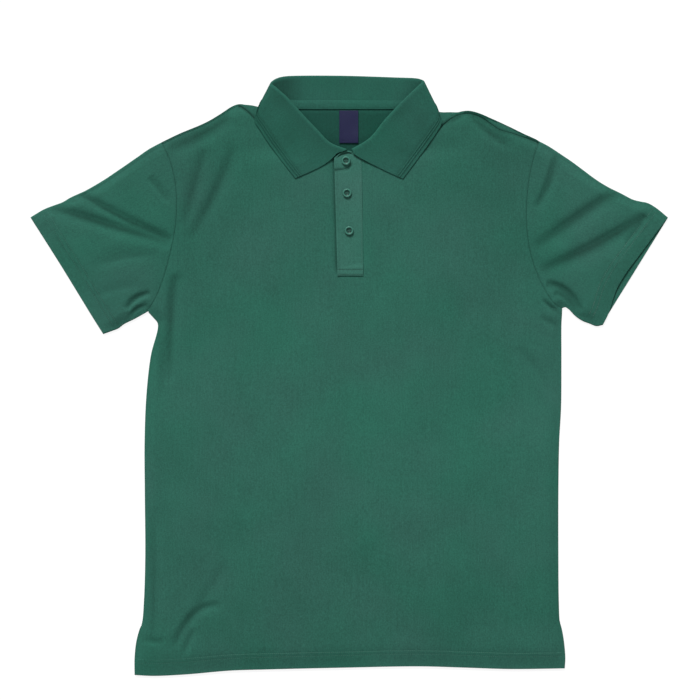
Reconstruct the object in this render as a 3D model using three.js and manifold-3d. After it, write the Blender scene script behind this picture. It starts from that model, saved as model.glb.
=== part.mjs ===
// Short-sleeved polo shirt, men's medium, laid flat on its back on a table with the buttons done up.
// Millimetres, +Z up from the table, +Y towards the collar, +X towards the wearer's left sleeve.
// The origin is the centre of the shirt's outline, on the table. Left and right are as seen from above.
//
// Each piece is a wall of cloth: a grid of points down the middle of the wall, moved out to both sides.
// The back lies on the table, the front lies on the back, and each sleeve is a tube pressed flat.
// The collar is one strip round the neck: a stand from the neck seam up to the rim, and a fall from there
// down to the outer edge. Over the front the fall lies on top, and behind the neck it lies under the back.
import * as THREE from "three";
import Module from "manifold-3d";
import { mergeVertices } from "three/addons/utils/BufferGeometryUtils.js";

const wasm = await Module();
wasm.setup();

// Cloth and the gaps that part the layers.
const CLOTH = 1.0; // wall of the body and sleeves
const COLLAR = 1.3; // wall of the knitted collar
const HEM = 1.4; // turned hem, two layers pressed together
const GAP = 0.3; // between pieces at a seam or lying on each other
const SLACK = 0.15; // added to the gap where curved pieces meet
const EDGE_LIFT = 2.0; // the front's middle over the back's middle along a pressed edge
const LOFT = 1.6; // how much further the front stands off the back away from the edges
const NECK_LIFT = COLLAR + GAP + 0.2; // the back's rise over the collar's fall behind the neck
const EDGE_BAND = 16; // the width over which the front comes down to a pressed edge
const HEM_DEPTH = 21; // turned hem at the bottom
const CUFF = 1.3; // turned hem of a sleeve
const CUFF_SHARE = 0.872; // where a sleeve's hem starts, as a share of its length

// Where the back rises over the collar's fall, and where the collar presses the front's loft down.
const BEHIND_NECK = { fromY: 283, ramp: 26, halfWidth: 152 };
const UNDER_COLLAR = { fromY: 270, ramp: 30, halfWidth: 150, share: 0.6 };
const OPEN_EDGE_LOFT = 0.45; // share of the loft kept at the hem and cuffs
const LEAST_RISE = 0.8; // rounds off the troughs where the front comes down on the back

// Turns rows of numbers into rows with named columns.
const table = (columns, rows) =>
  rows.map((row) => Object.fromEntries(columns.map((name, i) => [name, row[i]])));

// The body's two edges from the hem up to the underarm.
const SIDES = table(
  ["leftX", "leftY", "rightX", "rightY"],
  [
    [-275, -383.5, 276, -375],
    [-275, -362, 276.8, -362],
    [-273, -342, 275, -340],
    [-269, -326, 272.2, -324],
    [-265.6, -317, 269.8, -315],
    [-263, -287, 268.5, -287],
    [-261.4, -230, 268, -230],
    [-262, -150, 268, -150],
    [-262.3, -85, 269, -85],
    [-260, -25, 271.4, -40],
    [-254.5, 25, 271.8, 20],
    [-245.5, 66, 271.8, 66],
    [-251.5, 74, 272.4, 77],
    [-259, 82, 272.8, 86.5],
  ],
);

// The seams that join the sleeves, from the underarm up to the shoulder.
const ARMHOLES = table(
  ["leftX", "leftY", "rightX", "rightY"],
  [
    [-259, 82, 272.8, 86.5],
    [-251.5, 93, 263.5, 91],
    [-244, 108, 252.5, 106],
    [-234, 137, 241.5, 128],
    [-226.5, 168, 232.5, 154],
    [-221.7, 197, 227.5, 184],
    [-220.8, 226, 226.8, 214],
    [-223.4, 252, 229.5, 247],
    [-230, 277, 235.5, 277],
    [-240.5, 299, 243.5, 300.3],
  ],
);

// The bottom edge from left to right.
const HEM_EDGE = table(
  ["x", "y"],
  [
    [-275, -383.5],
    [-250, -384.6],
    [-209, -382.7],
    [-152, -377.8],
    [-100, -376.2],
    [-5, -374],
    [90, -372.4],
    [148, -374],
    [206, -375.8],
    [276, -375],
  ],
);

// Shoulders from the sleeve to the neck. The back folds over along the fold and meets the front at the seam.
const LEFT_SHOULDER = table(
  ["foldX", "foldY", "seamX", "seamY"],
  [
    [-240.5, 299, -239.2, 296.3],
    [-216.5, 310.5, -215.3, 307.8],
    [-191, 321, -190, 318.2],
    [-178, 327.4, -176.6, 324.8],
    [-163, 336.6, -161.4, 334.2],
    [-150, 345, -149.2, 342],
    [-141, 347.8, -141.5, 344.8],
    [-133.5, 347, -134.5, 341.5],
    [-124.5, 346, -128, 336],
    [-115.5, 344, -120, 328.5],
    [-106, 341.5, -97, 330.5],
  ],
);
const RIGHT_SHOULDER = table(
  ["foldX", "foldY", "seamX", "seamY"],
  [
    [243.5, 300.3, 242.4, 297.4],
    [237.8, 303.5, 236.2, 300.4],
    [225, 309.2, 224, 304.8],
    [212, 315.6, 208, 310.4],
    [193, 324.6, 193, 314.6],
    [180, 330.4, 182.5, 321.4],
    [167.4, 335.9, 167, 331.6],
    [154.6, 339.3, 154.5, 335.2],
    [145.6, 338.9, 145.6, 335],
    [139.2, 337.4, 139, 333.5],
    [129, 337.4, 128, 327.5],
    [117.4, 337.4, 117, 319.5],
    [105, 340.5, 91, 325],
  ],
);

// The front's neckline from the left shoulder seam down to the placket and up again.
const FRONT_NECK = table(
  ["x", "y"],
  [
    [-97, 330.5],
    [-82, 317],
    [-62, 301],
    [-40, 286],
    [-19.5, 278],
    [17, 278],
    [38, 285],
    [58, 299],
    [76, 314],
    [91, 325],
  ],
);
const BACK_NECK_Y = 340.3;

// Sleeves: upper and lower edges from the body to the cuff, the front layer's cuff and the back layer's cuff.
const SLEEVES = {
  left: {
    upper: [[-240.5, 299], [-256.7, 290.3], [-271, 280.4], [-294.3, 264.3], [-314.2, 250.9], [-337.5, 237.3],
      [-357.2, 228.2], [-367.2, 222.3], [-378.8, 218], [-391.4, 213], [-408.5, 202.8]],
    lower: [[-259, 82], [-274.6, 73.1], [-289, 65.8], [-296.1, 60.4], [-305.2, 56.8], [-315.1, 53.2]],
    frontCuff: [[-408.5, 202.8], [-370.2, 142.5], [-326.7, 71.5], [-315.1, 53.2]],
    backCuff: [[-408.5, 202.8], [-370.2, 142.5], [-326.7, 71.5], [-315.1, 53.2]],
  },
  right: {
    upper: [[243.5, 300.3], [255.7, 293.9], [271, 283.9], [286.4, 273.4], [301.8, 261.9], [317.1, 250.6],
      [332.5, 241.2], [347.8, 233.7], [363.2, 225.7], [372.2, 223.3], [382.4, 221.2], [393.9, 214.5], [408.5, 202.4]],
    lower: [[272.8, 86.5], [277.4, 87.9], [282.8, 84.7], [290, 76.7], [298.9, 70.4], [307.9, 66.8], [316.9, 63.5],
      [324.9, 65]],
    frontCuff: [[408.5, 202.4], [402, 194.3], [386.9, 174.5], [370.8, 153], [354.6, 131.5], [342.1, 109.8],
      [332.1, 79.4], [324.9, 65]],
    backCuff: [[408.5, 202.4], [367, 135.5], [328.5, 72.5], [324.9, 65]],
  },
};

// Folds in the top layer: a path through three points, how high it stands (below 0 is a trough),
// and its half width to the left and to the right of the path.
const FOLDS = table(
  ["x0", "y0", "x1", "y1", "x2", "y2", "height", "left", "right"],
  [
    // Wearer's right sleeve.
    [-345, 232, -313, 216, -280, 192, -2.6, 9, 9],
    [-352, 221, -318, 208, -262, 184, 2.6, 9, 8],
    [-378, 215, -314, 203, -236, 170, -3.6, 9, 13],
    [-318, 137, -280, 150, -242, 152, -1.6, 12, 12],
    [-285, 74, -279, 94, -254, 110, -3.4, 8, 8],
    // Wearer's right shoulder and side.
    [-233, 287, -190, 308, -153, 332, -2.8, 7, 13],
    [-187, 286, -197, 250, -211, 195, -2.2, 9, 12],
    [-149, 290, -170, 240, -202, 177, -1.8, 10, 14],
    [-222, 145, -231, 96, -231, 40, -3, 10, 13],
    // Wearer's left sleeve.
    [260, 279, 252, 245, 237, 216, -2.4, 8, 10],
    [339, 237, 296, 208, 240, 168, -2, 11, 12],
    [365, 219, 325, 192, 276, 166, -2, 8, 8],
    [383, 214, 330, 184, 262, 150, 3.4, 9, 9],
    [383, 206, 322, 168, 252, 136, -4, 13, 9],
    [254, 118, 276, 110, 295, 84, -3.4, 9, 9],
    // Wearer's left shoulder and underarm.
    [160, 331, 174, 316, 200, 292, -2.6, 9, 12],
    [250, 95, 262, 84, 271, 76, -2.4, 7, 8],
    // Bottom hem, wearer's right.
    [-164, -293, -198, -297, -225, -346, -2.6, 8, 10],
  ],
);

// Collar sections from the wearer's right front round the back to the left front. turn is 0 where the fall
// lies over the stand, 180 where it lies under it. roll is the width of the bend at the rim.
const COLLAR_SECTIONS = table(
  ["turn", "neckX", "neckY", "rimX", "rimY", "rimZ", "edgeX", "edgeY", "edgeZ", "roll"],
  [
    [0, -21, 283, -3.5, 288.7, 7.8, -69, 252, 6.2, 2.2],
    [0, -38, 286.8, -24, 298, 7.6, -80, 266, 6.2, 2.6],
    [0, -60, 300.8, -40, 314, 7.6, -92, 281.5, 6.2, 2.8],
    [0, -80, 317, -60, 335, 7.4, -104.2, 298.5, 6.2, 2.8],
    [8, -94, 329.5, -78.5, 355.5, 7, -114.5, 314.5, 6.4, 2.8],
    [40, -102.5, 336.5, -92.5, 368, 6.2, -120.3, 323.2, 6.8, 2.6],
    [90, -105.5, 341.6, -99, 373.8, 4.6, -120.6, 331.5, 7, 2.4],
    [130, -102.5, 342.2, -97, 378, 3.2, -114, 347.6, 5.2, 2.4],
    [165, -96, 341.6, -91, 381.4, 2.3, -104, 350, 1.6, 2.6],
    [180, -86, 341, -81, 383.6, 1.9, -91, 337, 0.65, 2.5],
    [180, -66, 340.9, -62, 384.3, 1.9, -70, 322, 0.65, 2.5],
    [180, -35, 340.9, -33, 384.4, 1.9, -36, 316, 0.65, 2.5],
    [180, 0, 340.9, 0, 384, 1.9, 0, 314, 0.65, 2.5],
    [180, 35, 340.9, 33, 383, 1.9, 36, 316, 0.65, 2.5],
    [180, 66, 340.9, 60, 382, 1.9, 70, 322, 0.65, 2.5],
    [180, 86, 341, 79, 381.4, 1.9, 91, 337, 0.65, 2.5],
    [165, 95, 341.2, 87, 380.6, 2.3, 103, 348, 1.6, 2.6],
    [130, 101, 341.4, 91.5, 379.2, 3.2, 111, 344, 5.2, 2.4],
    [90, 103.5, 339.5, 94, 377, 4.6, 117.2, 330.5, 7, 2.4],
    [40, 98, 333, 89, 371.5, 6.2, 118.2, 322, 6.8, 2.6],
    [8, 89, 324.4, 79.5, 362.6, 7, 112.8, 312, 6.4, 2.8],
    [0, 76, 314.4, 62, 345.4, 7.4, 103.4, 298.5, 6.2, 2.8],
    [0, 57, 299, 44.5, 326.5, 7.6, 92.2, 283, 6.2, 2.8],
    [0, 37, 286, 26, 304, 7.6, 80, 266.5, 6.2, 2.6],
    [0, 17.8, 283, 2.6, 289, 7.8, 68.5, 251.4, 6.2, 2.2],
  ],
);

// Placket: the strip that shows and the strip under it. Its edges at its top and bottom.
const PLACKET = { topLeft: -19.4, topRight: 16.2, bottomLeft: -15, bottomRight: 18.2, bottomY: 127.6 };
const PLACKET_TOP = table(["x", "y"], [[-19.4, 278.6], [-13, 284.6], [-5, 287.4], [4, 286.6], [16.2, 279.2]]);
const SLOT_BOTTOM_Y = 133;
const SLOT_LAP = 2; // how far the top strip laps over the slot's left edge
const BUTTONS = table(["x", "y"], [[-4.2, 274.6], [-2.8, 233.3], [-0.2, 185.2]]);
const BUTTON_RADIUS = 5.7;
const BUTTON_HOLES = { count: 4, radius: 0.8, offset: 1.5 };

// Neck tape and label inside the back neck.
const TAPE = { from: 0.37, to: 0.63, share: 0.28 }; // shares of the collar's length and of the stand's height
const LABEL = { x: -0.6, width: 24.4, topY: 339.4, bottomY: 297.6 };

const COLOURS = {
  cloth: { color: 0x2e6054, roughness: 0.86, metalness: 0 },
  label: { color: 0x23264a, roughness: 0.6, metalness: 0 },
  button: { color: 0x3f7a6a, roughness: 0.35, metalness: 0 },
};

const clamp = (x, low, high) => Math.min(high, Math.max(low, x));
const smooth = (x) => {
  const t = clamp(x, 0, 1);
  return t * t * (3 - 2 * t);
};
const mix = (a, b, t) => a + (b - a) * t;
const steps = (n) => Array.from({ length: n + 1 }, (_, i) => i / n);

// A smooth curve through points given as [x, y] pairs, read by the share of its length, or by the share of its
// rows so that two columns of one table keep step.
function curve(points, byRow = false) {
  const line = new THREE.CatmullRomCurve3(points.map(([x, y]) => new THREE.Vector3(x, y, 0)), false, "centripetal");
  line.arcLengthDivisions = 400;
  return (t) => (byRow ? line.getPoint(clamp(t, 0, 1)) : line.getPointAt(clamp(t, 0, 1)));
}
const columns = (rows, x, y, byRow) => curve(rows.map((row) => [row[x], row[y]]), byRow);

const side = { left: columns(SIDES, "leftX", "leftY"), right: columns(SIDES, "rightX", "rightY") };
const armhole = { left: columns(ARMHOLES, "leftX", "leftY"), right: columns(ARMHOLES, "rightX", "rightY") };
const fold = {
  left: columns(LEFT_SHOULDER, "foldX", "foldY", true),
  right: columns(RIGHT_SHOULDER, "foldX", "foldY", true),
};
const seam = {
  left: columns(LEFT_SHOULDER, "seamX", "seamY", true),
  right: columns(RIGHT_SHOULDER, "seamX", "seamY", true),
};
const hemEdge = columns(HEM_EDGE, "x", "y");
const frontNeck = columns(FRONT_NECK, "x", "y");
const sleeveCurves = Object.fromEntries(
  Object.entries(SLEEVES).map(([name, edges]) => [
    name,
    Object.fromEntries(Object.entries(edges).map(([edge, points]) => [edge, curve(points)])),
  ]),
);

// The level direction to the right of a curve's run.
function normalAt(at, t) {
  const before = at(Math.max(0, t - 0.01));
  const after = at(Math.min(1, t + 0.01));
  return new THREE.Vector3(after.y - before.y, before.x - after.x, 0).normalize();
}

// The pressed edges of the whole shirt, where the front comes down to the back, and the open ones.
const sample = (at, n) => steps(n).map(at);
const pressedEdges = ["left", "right"].flatMap((hand) => [
  sample(side[hand], 24),
  sample(fold[hand], 20),
  sample(sleeveCurves[hand].upper, 16),
  sample(sleeveCurves[hand].lower, 8),
]);
const openEdges = [
  sample(hemEdge, 12),
  sample(sleeveCurves.left.backCuff, 6),
  sample(sleeveCurves.right.backCuff, 6),
];

// The nearest place on a path: how far away it is, how far along it is, and on which side the point lies.
function nearest(path, x, y) {
  let best = { distance: Infinity, along: 0, side: 1 };
  for (let i = 0; i + 1 < path.length; i++) {
    const a = path[i];
    const dx = path[i + 1].x - a.x;
    const dy = path[i + 1].y - a.y;
    const t = clamp(((x - a.x) * dx + (y - a.y) * dy) / (dx * dx + dy * dy), 0, 1);
    const distance = Math.hypot(x - a.x - t * dx, y - a.y - t * dy);
    if (distance < best.distance)
      best = { distance, along: (i + t) / (path.length - 1), side: dx * (y - a.y) - dy * (x - a.x) };
  }
  return best;
}
const farFrom = (paths, x, y) => Math.min(...paths.map((path) => nearest(path, x, y).distance));

const foldPaths = FOLDS.map((row) => ({
  row,
  path: new THREE.QuadraticBezierCurve3(
    new THREE.Vector3(row.x0, row.y0, 0),
    new THREE.Vector3(2 * row.x1 - (row.x0 + row.x2) / 2, 2 * row.y1 - (row.y0 + row.y2) / 2, 0),
    new THREE.Vector3(row.x2, row.y2, 0),
  ).getPoints(8),
}));

function folds(x, y) {
  let height = 0;
  for (const { row, path } of foldPaths) {
    const at = nearest(path, x, y);
    const width = at.side > 0 ? row.left : row.right;
    height += row.height * Math.sqrt(Math.sin(Math.PI * at.along)) * Math.exp(-((at.distance / width) ** 2));
  }
  return height;
}

// The height of the middle of the back's wall, and of the front's.
function backZ(x, y) {
  const { fromY, ramp, halfWidth } = BEHIND_NECK;
  return CLOTH / 2 + NECK_LIFT * smooth((y - fromY) / ramp) * smooth((halfWidth - Math.abs(x)) / ramp);
}
function frontZ(x, y) {
  const pressed = smooth(farFrom(pressedEdges, x, y) / EDGE_BAND);
  const open = mix(OPEN_EDGE_LOFT, 1, smooth(farFrom(openEdges, x, y) / (2 * EDGE_BAND)));
  const rise = LOFT + folds(x, y);
  const kept = (rise + Math.hypot(rise, LEAST_RISE)) / 2;
  const { fromY, ramp, halfWidth, share } = UNDER_COLLAR;
  const under = smooth((y - fromY) / ramp) * smooth((halfWidth - Math.abs(x)) / ramp);
  return backZ(x, y) + EDGE_LIFT + pressed * open * (1 - share * under) * kept;
}

// A closed wall round a grid of points (null where there is none), none of it below the table. thickness is a
// number or a function of row and column. With ring true, the last column joins the first.
function wall(grid, thickness, ring = false) {
  const rows = grid.length;
  const across = grid[0].length;
  const thick = typeof thickness === "function" ? thickness : () => thickness;
  const index = grid.map((row) => row.map(() => -1));
  const middles = [];
  const normals = [];
  grid.forEach((row, i) =>
    row.forEach((point, j) => {
      if (!point) return;
      index[i][j] = middles.length;
      middles.push({ point, half: thick(i, j) / 2 });
      normals.push(new THREE.Vector3());
    }),
  );
  const quads = [];
  for (let i = 0; i + 1 < rows; i++)
    for (let j = 0; j + (ring ? 0 : 1) < across; j++) {
      const k = (j + 1) % across;
      const corners = [index[i][j], index[i][k], index[i + 1][k], index[i + 1][j]];
      if (corners.some((c) => c < 0)) continue;
      quads.push(corners);
      const [a, b, c, d] = corners.map((n) => middles[n].point);
      const normal = new THREE.Vector3().crossVectors(c.clone().sub(a), d.clone().sub(b));
      corners.forEach((n) => normals[n].add(normal));
    }
  const count = middles.length;
  const position = new Float32Array(count * 6);
  middles.forEach(({ point, half }, n) => {
    const out = normals[n].normalize().multiplyScalar(half);
    [point.clone().add(out), point.clone().sub(out)].forEach((face, k) => {
      face.z = Math.max(0, face.z);
      face.toArray(position, 3 * (n + k * count));
    });
  });
  const faces = [];
  const edges = new Map();
  for (const [a, b, c, d] of quads) {
    faces.push(a, b, c, a, c, d);
    faces.push(a + count, c + count, b + count, a + count, d + count, c + count);
    for (const [p, q] of [[a, b], [b, c], [c, d], [d, a]]) {
      if (edges.has(q + "," + p)) edges.delete(q + "," + p);
      else edges.set(p + "," + q, [p, q]);
    }
  }
  for (const [p, q] of edges.values()) faces.push(q, p, p + count, q, p + count, q + count);
  const closed = new THREE.BufferGeometry();
  closed.setAttribute("position", new THREE.BufferAttribute(position, 3));
  closed.setIndex(faces);
  return closed;
}

// Geometry to a manifold-3d solid and back.
function solid(geometry) {
  const bare = geometry.clone();
  bare.deleteAttribute("normal");
  bare.deleteAttribute("uv");
  const merged = mergeVertices(bare, 1e-3);
  return new wasm.Manifold(
    new wasm.Mesh({
      numProp: 3,
      vertProperties: merged.attributes.position.array,
      triVerts: new Uint32Array(merged.index.array),
    }),
  );
}
function geometryOf(made) {
  const mesh = made.getMesh();
  const geometry = new THREE.BufferGeometry();
  geometry.setAttribute("position", new THREE.BufferAttribute(Float32Array.from(mesh.vertProperties), 3));
  geometry.setIndex(new THREE.BufferAttribute(Uint32Array.from(mesh.triVerts), 1));
  return geometry;
}

const shirt = new THREE.Group();
function piece(name, geometry, finish) {
  geometry.computeVertexNormals();
  const mesh = new THREE.Mesh(geometry, new THREE.MeshStandardMaterial(COLOURS[finish]));
  mesh.name = name;
  shirt.add(mesh);
}

// Rows of the body panels: below the armhole by the share of the side's length, then by the armhole's.
const VENT_TOP = 0.135;
const HEM_SHARE = HEM_DEPTH / 466;
const SIDE_SHARES = [0, HEM_SHARE, HEM_SHARE + 0.003, 0.09, VENT_TOP, 0.165, 0.22, 0.29, 0.37, 0.47, 0.58, 0.69, 0.78,
  0.85, 0.9, 0.93, 0.955, 0.976, 1];
const ARMHOLE_ROWS = 11;
const NECK_START = 0.27; // where the neckline starts and ends, as shares of the panel's width
const NECK_END = 0.72;
function bodyRows(top) {
  const rows = SIDE_SHARES.map((t) => ({
    left: side.left(t),
    right: side.right(t),
    leftOut: normalAt(side.left, t).negate(),
    rightOut: normalAt(side.right, t),
    hem: t <= HEM_SHARE,
    pressed: t >= VENT_TOP && t < 1,
    edge: t < 1,
  }));
  for (let k = 1; k <= ARMHOLE_ROWS; k++) {
    const t = k / ARMHOLE_ROWS;
    rows.push({ left: armhole.left(t), right: armhole.right(t) });
  }
  const low = (rows[0].left.y + rows[0].right.y) / 2;
  const last = rows[rows.length - 1];
  last.left = top(0);
  last.right = top(1);
  const high = (last.left.y + last.right.y) / 2;
  for (const row of rows) row.up = ((row.left.y + row.right.y) / 2 - low) / (high - low);
  return rows;
}

// A point of a body panel, blended from its four edges. The shapes of the hem and the top fade out inwards.
function bodyPoint(rows, row, u, top) {
  const between = (a, b) => new THREE.Vector3().lerpVectors(a, b, u);
  const bottomBow = hemEdge(u).sub(between(rows[0].left, rows[0].right));
  const topBow = top(u).sub(between(top(0), top(1)));
  return between(row.left, row.right)
    .addScaledVector(bottomBow, (1 - row.up) ** 3)
    .addScaledVector(topBow, row.up ** 4);
}

// One row of a body panel, kept a distance inside its two side edges.
function bodyRow(rows, row, across, top, inset) {
  const width = row.left.distanceTo(row.right);
  const leftInset = row.edge ? inset / (width * Math.abs(row.leftOut.x)) : 0;
  const rightInset = row.edge ? inset / (width * Math.abs(row.rightOut.x)) : 0;
  return across.map((u) => bodyPoint(rows, row, clamp(u, leftInset, 1 - rightInset), top));
}

// The shares across that the shoulders take on both panels, so that their seams match.
const LEFT_SHARES = [0, 0.02, 0.045, 0.08, 0.12, 0.16, 0.2, 0.235, NECK_START];
const RIGHT_SHARES = [NECK_END, 0.755, 0.79, 0.83, 0.87, 0.915, 0.955, 0.98, 1];

// The front, with a slot for the placket. Its side edges curl down to the table past the back's edges.
function frontTop(u) {
  if (u < NECK_START) return seam.left(u / NECK_START);
  if (u > NECK_END) return seam.right((1 - u) / (1 - NECK_END));
  return frontNeck((u - NECK_START) / (NECK_END - NECK_START));
}
const EDGE_RADIUS = EDGE_LIFT / 2;
const CURL = [50, 90, 135, 180];

function frontPanel() {
  const rows = bodyRows(frontTop);
  const middle = [0.32, 0.37, 0.42, 0.465, 0.5, 0.535, 0.58, 0.625, 0.67];
  const across = [...LEFT_SHARES, ...middle, ...RIGHT_SHARES];
  const grid = rows.map((row) => {
    const main = bodyRow(rows, row, across, frontTop, row.pressed ? EDGE_RADIUS + CLOTH / 2 : CLOTH / 2);
    for (const point of main) point.z = frontZ(point.x, point.y);
    const curl = (end, out) =>
      CURL.map((angle) => {
        if (!row.pressed) return null;
        const turn = THREE.MathUtils.degToRad(angle);
        const point = end.clone().addScaledVector(out, EDGE_RADIUS * Math.sin(turn));
        point.z = mix(CLOTH / 2, end.z, (1 + Math.cos(turn)) / 2);
        return point;
      });
    return [...curl(main[0], row.leftOut).reverse(), ...main, ...curl(main[main.length - 1], row.rightOut)];
  });
  const panel = solid(wall(grid, (i) => (rows[i].hem ? HEM : CLOTH)));
  const slotTopY = 300; // clear of the neckline
  const slot = new THREE.Shape([
    new THREE.Vector2(placketEdge(slotTopY, 0) + SLOT_LAP, slotTopY),
    new THREE.Vector2(placketEdge(SLOT_BOTTOM_Y, 0) + SLOT_LAP, SLOT_BOTTOM_Y),
    new THREE.Vector2(placketEdge(SLOT_BOTTOM_Y, 1), SLOT_BOTTOM_Y),
    new THREE.Vector2(placketEdge(slotTopY, 1), slotTopY),
  ]);
  const cutter = solid(new THREE.ExtrudeGeometry(slot, { depth: 10 * EDGE_LIFT, bevelEnabled: false }));
  return geometryOf(panel.subtract(cutter));
}
piece("front", frontPanel(), "cloth");

// The back, flat on the table, with its shoulders folded over to the seams on the front.
function backTop(u) {
  if (u < NECK_START) return fold.left(u / NECK_START);
  if (u > NECK_END) return fold.right((1 - u) / (1 - NECK_END));
  const x = mix(fold.left(1).x, fold.right(1).x, (u - NECK_START) / (NECK_END - NECK_START));
  const endY = x < 0 ? fold.left(1).y : fold.right(1).y;
  return new THREE.Vector3(x, mix(BACK_NECK_Y, endY, smooth((Math.abs(x) - 92) / 14)), 0);
}
const FLAP = [0.35, 0.7, 1];

function backPanel() {
  const rows = bodyRows(backTop);
  const middle = [0.34, 0.42, 0.5, 0.58, 0.66];
  const across = [...LEFT_SHARES, ...middle, ...RIGHT_SHARES];
  const inward = across.map((u) => {
    if (u <= NECK_START) return normalAt(fold.left, u / NECK_START);
    return u >= NECK_END ? normalAt(fold.right, (1 - u) / (1 - NECK_END)).negate() : null;
  });
  const grid = rows.map((row, i) => {
    const inset = row.pressed ? EDGE_RADIUS + CLOTH / 2 + GAP + SLACK : CLOTH / 2;
    const points = bodyRow(rows, row, across, backTop, inset);
    points.forEach((point, j) => {
      // The bend at the shoulder takes its own radius from the flat part.
      if (i === rows.length - 1 && inward[j]) point.addScaledVector(inward[j], EDGE_RADIUS + CLOTH / 2);
      point.z = row.hem ? HEM / 2 : backZ(point.x, point.y);
    });
    return points;
  });
  const last = grid[grid.length - 1];
  for (const angle of [60, 120, 180]) {
    const turn = THREE.MathUtils.degToRad(angle);
    grid.push(
      last.map((point, j) => {
        if (!inward[j]) return null;
        const bent = point.clone().addScaledVector(inward[j], -EDGE_RADIUS * Math.sin(turn));
        bent.z = mix(point.z, frontZ(point.x, point.y), (1 - Math.cos(turn)) / 2);
        return bent;
      }),
    );
  }
  const folded = grid[grid.length - 1];
  for (const share of FLAP)
    grid.push(
      folded.map((point, j) => {
        if (!point) return null;
        const end = frontTop(across[j]).addScaledVector(inward[j], -GAP - SLACK);
        const plan = new THREE.Vector3().lerpVectors(point, end, share);
        plan.z = frontZ(plan.x, plan.y);
        return plan;
      }),
    );
  return wall(grid, (i) => (i < rows.length && rows[i].hem ? HEM : CLOTH));
}
piece("back", backPanel(), "cloth");

// A sleeve: a tube pressed flat, with its lower layer on the table. Rings run from the armhole to the cuff.
function sleeve(hand) {
  const edge = sleeveCurves[hand];
  const out = hand === "left" ? -1 : 1;
  const joint = (t) =>
    armhole[hand](1 - t).addScaledVector(normalAt(armhole[hand], 1 - t), out * (GAP + SLACK));
  const layer = (cuff) => (s, t) => {
    const a = joint(t);
    const c = cuff(t);
    const along = new THREE.Vector3().lerpVectors(a, c, s);
    const upperBow = edge.upper(s).sub(new THREE.Vector3().lerpVectors(edge.upper(0), edge.upper(1), s));
    const lowerBow = edge.lower(s).sub(new THREE.Vector3().lerpVectors(edge.lower(0), edge.lower(1), s));
    return along.addScaledVector(upperBow, (1 - t) ** 2).addScaledVector(lowerBow, t ** 2);
  };
  const front = layer(edge.frontCuff);
  const back = layer(edge.backCuff);
  const stations = [0, 0.07, 0.15, 0.23, 0.31, 0.39, 0.47, 0.55, 0.63, 0.71, 0.79, 0.87, CUFF_SHARE, 0.94, 1];
  const topShares = steps(ARMHOLE_ROWS);
  const lowShares = [0, 0.14, 0.32, 0.5, 0.68, 0.86, 1];
  const grid = stations.map((s) => {
    const long = front(s, 0).distanceTo(front(s, 1));
    const inset = (EDGE_RADIUS + CLOTH / 2) / long;
    const at = (plan, t, z) => {
      const point = plan(s, clamp(t, inset, 1 - inset));
      point.z = z ?? frontZ(point.x, point.y);
      return point;
    };
    const top = topShares.map((t) => at(front, t));
    const low = lowShares.map((t) => at(back, t, CLOTH / 2));
    const bend = (from, to, outward) =>
      [45, 90, 135].map((angle) => {
        const turn = THREE.MathUtils.degToRad(angle);
        const point = from.clone().lerp(to, (1 - Math.cos(turn)) / 2);
        return point.addScaledVector(outward, EDGE_RADIUS * Math.sin(turn));
      });
    const nearEnd = 0.03;
    const downward = front(s, 1).sub(front(s, 1 - nearEnd)).setZ(0).normalize();
    const upward = front(s, 0).sub(front(s, nearEnd)).setZ(0).normalize();
    const lowBend = bend(top[top.length - 1], low[low.length - 1], downward);
    const highBend = bend(low[0], top[0], upward);
    return [...top, ...lowBend, ...low.reverse(), ...highBend];
  });
  if (out > 0) grid.forEach((row) => row.reverse());
  return wall(grid, (i, j) => (stations[i] >= CUFF_SHARE && grid[i][j].z > EDGE_LIFT ? CUFF : CLOTH), true);
}
piece("sleeve_wearer_right", sleeve("left"), "cloth");
piece("sleeve_wearer_left", sleeve("right"), "cloth");

// The top of whatever the collar's fall lies on over the front: the front, or the placket at its top.
const OVER_PLACKET = { halfWidth: 26, topY: 292, ramp: 6 };
function underCollar(x, y) {
  const { halfWidth, topY, ramp } = OVER_PLACKET;
  const onPlacket = smooth((halfWidth - Math.abs(x)) / ramp) * smooth((topY - y) / ramp);
  return frontZ(x, y) + CLOTH / 2 + (CLOTH + GAP) * onPlacket;
}

// One section of the collar: up the stand, round the rim, down the fall.
const STAND_STEPS = 2;
const FALL_STEPS = 4;
const RIM_ANGLES = [0, 45, 90, 135, 180];
const ON_FRONT = 60; // the turn up to which the fall lies on the front
function collarSection(row) {
  const turn = THREE.MathUtils.degToRad(row.turn);
  const outward = Math.sign(row.rimX || 1);
  const over = new THREE.Vector3(outward * Math.sin(turn), 0, Math.cos(turn));
  const behind = (1 - Math.cos(turn)) / 2;
  const neck = new THREE.Vector3(row.neckX, row.neckY, 0);
  neck.z = mix(frontZ(neck.x, neck.y), backZ(neck.x, neck.y), behind);
  const rim = new THREE.Vector3(row.rimX, row.rimY, row.rimZ);
  const edge = new THREE.Vector3(row.edgeX, row.edgeY, row.edgeZ);
  const half = row.roll / 2;
  const up = rim.clone().sub(neck.clone().lerp(edge, 0.5)).setZ(0).normalize();
  const centre = rim.clone().addScaledVector(up, -half - COLLAR / 2);
  const round = RIM_ANGLES.map((angle) => {
    const a = THREE.MathUtils.degToRad(angle);
    return centre.clone().addScaledVector(over, -half * Math.cos(a)).addScaledVector(up, half * Math.sin(a));
  });
  const stand = steps(STAND_STEPS).slice(0, -1).map((t) => neck.clone().lerp(round[0], t));
  const fall = steps(FALL_STEPS).slice(1).map((t) => round[round.length - 1].clone().lerp(edge, t));
  if (row.turn < ON_FRONT)
    for (const point of fall) point.z = Math.max(point.z, underCollar(point.x, point.y) + GAP + COLLAR / 2);
  return [...stand, ...round, ...fall];
}

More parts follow.
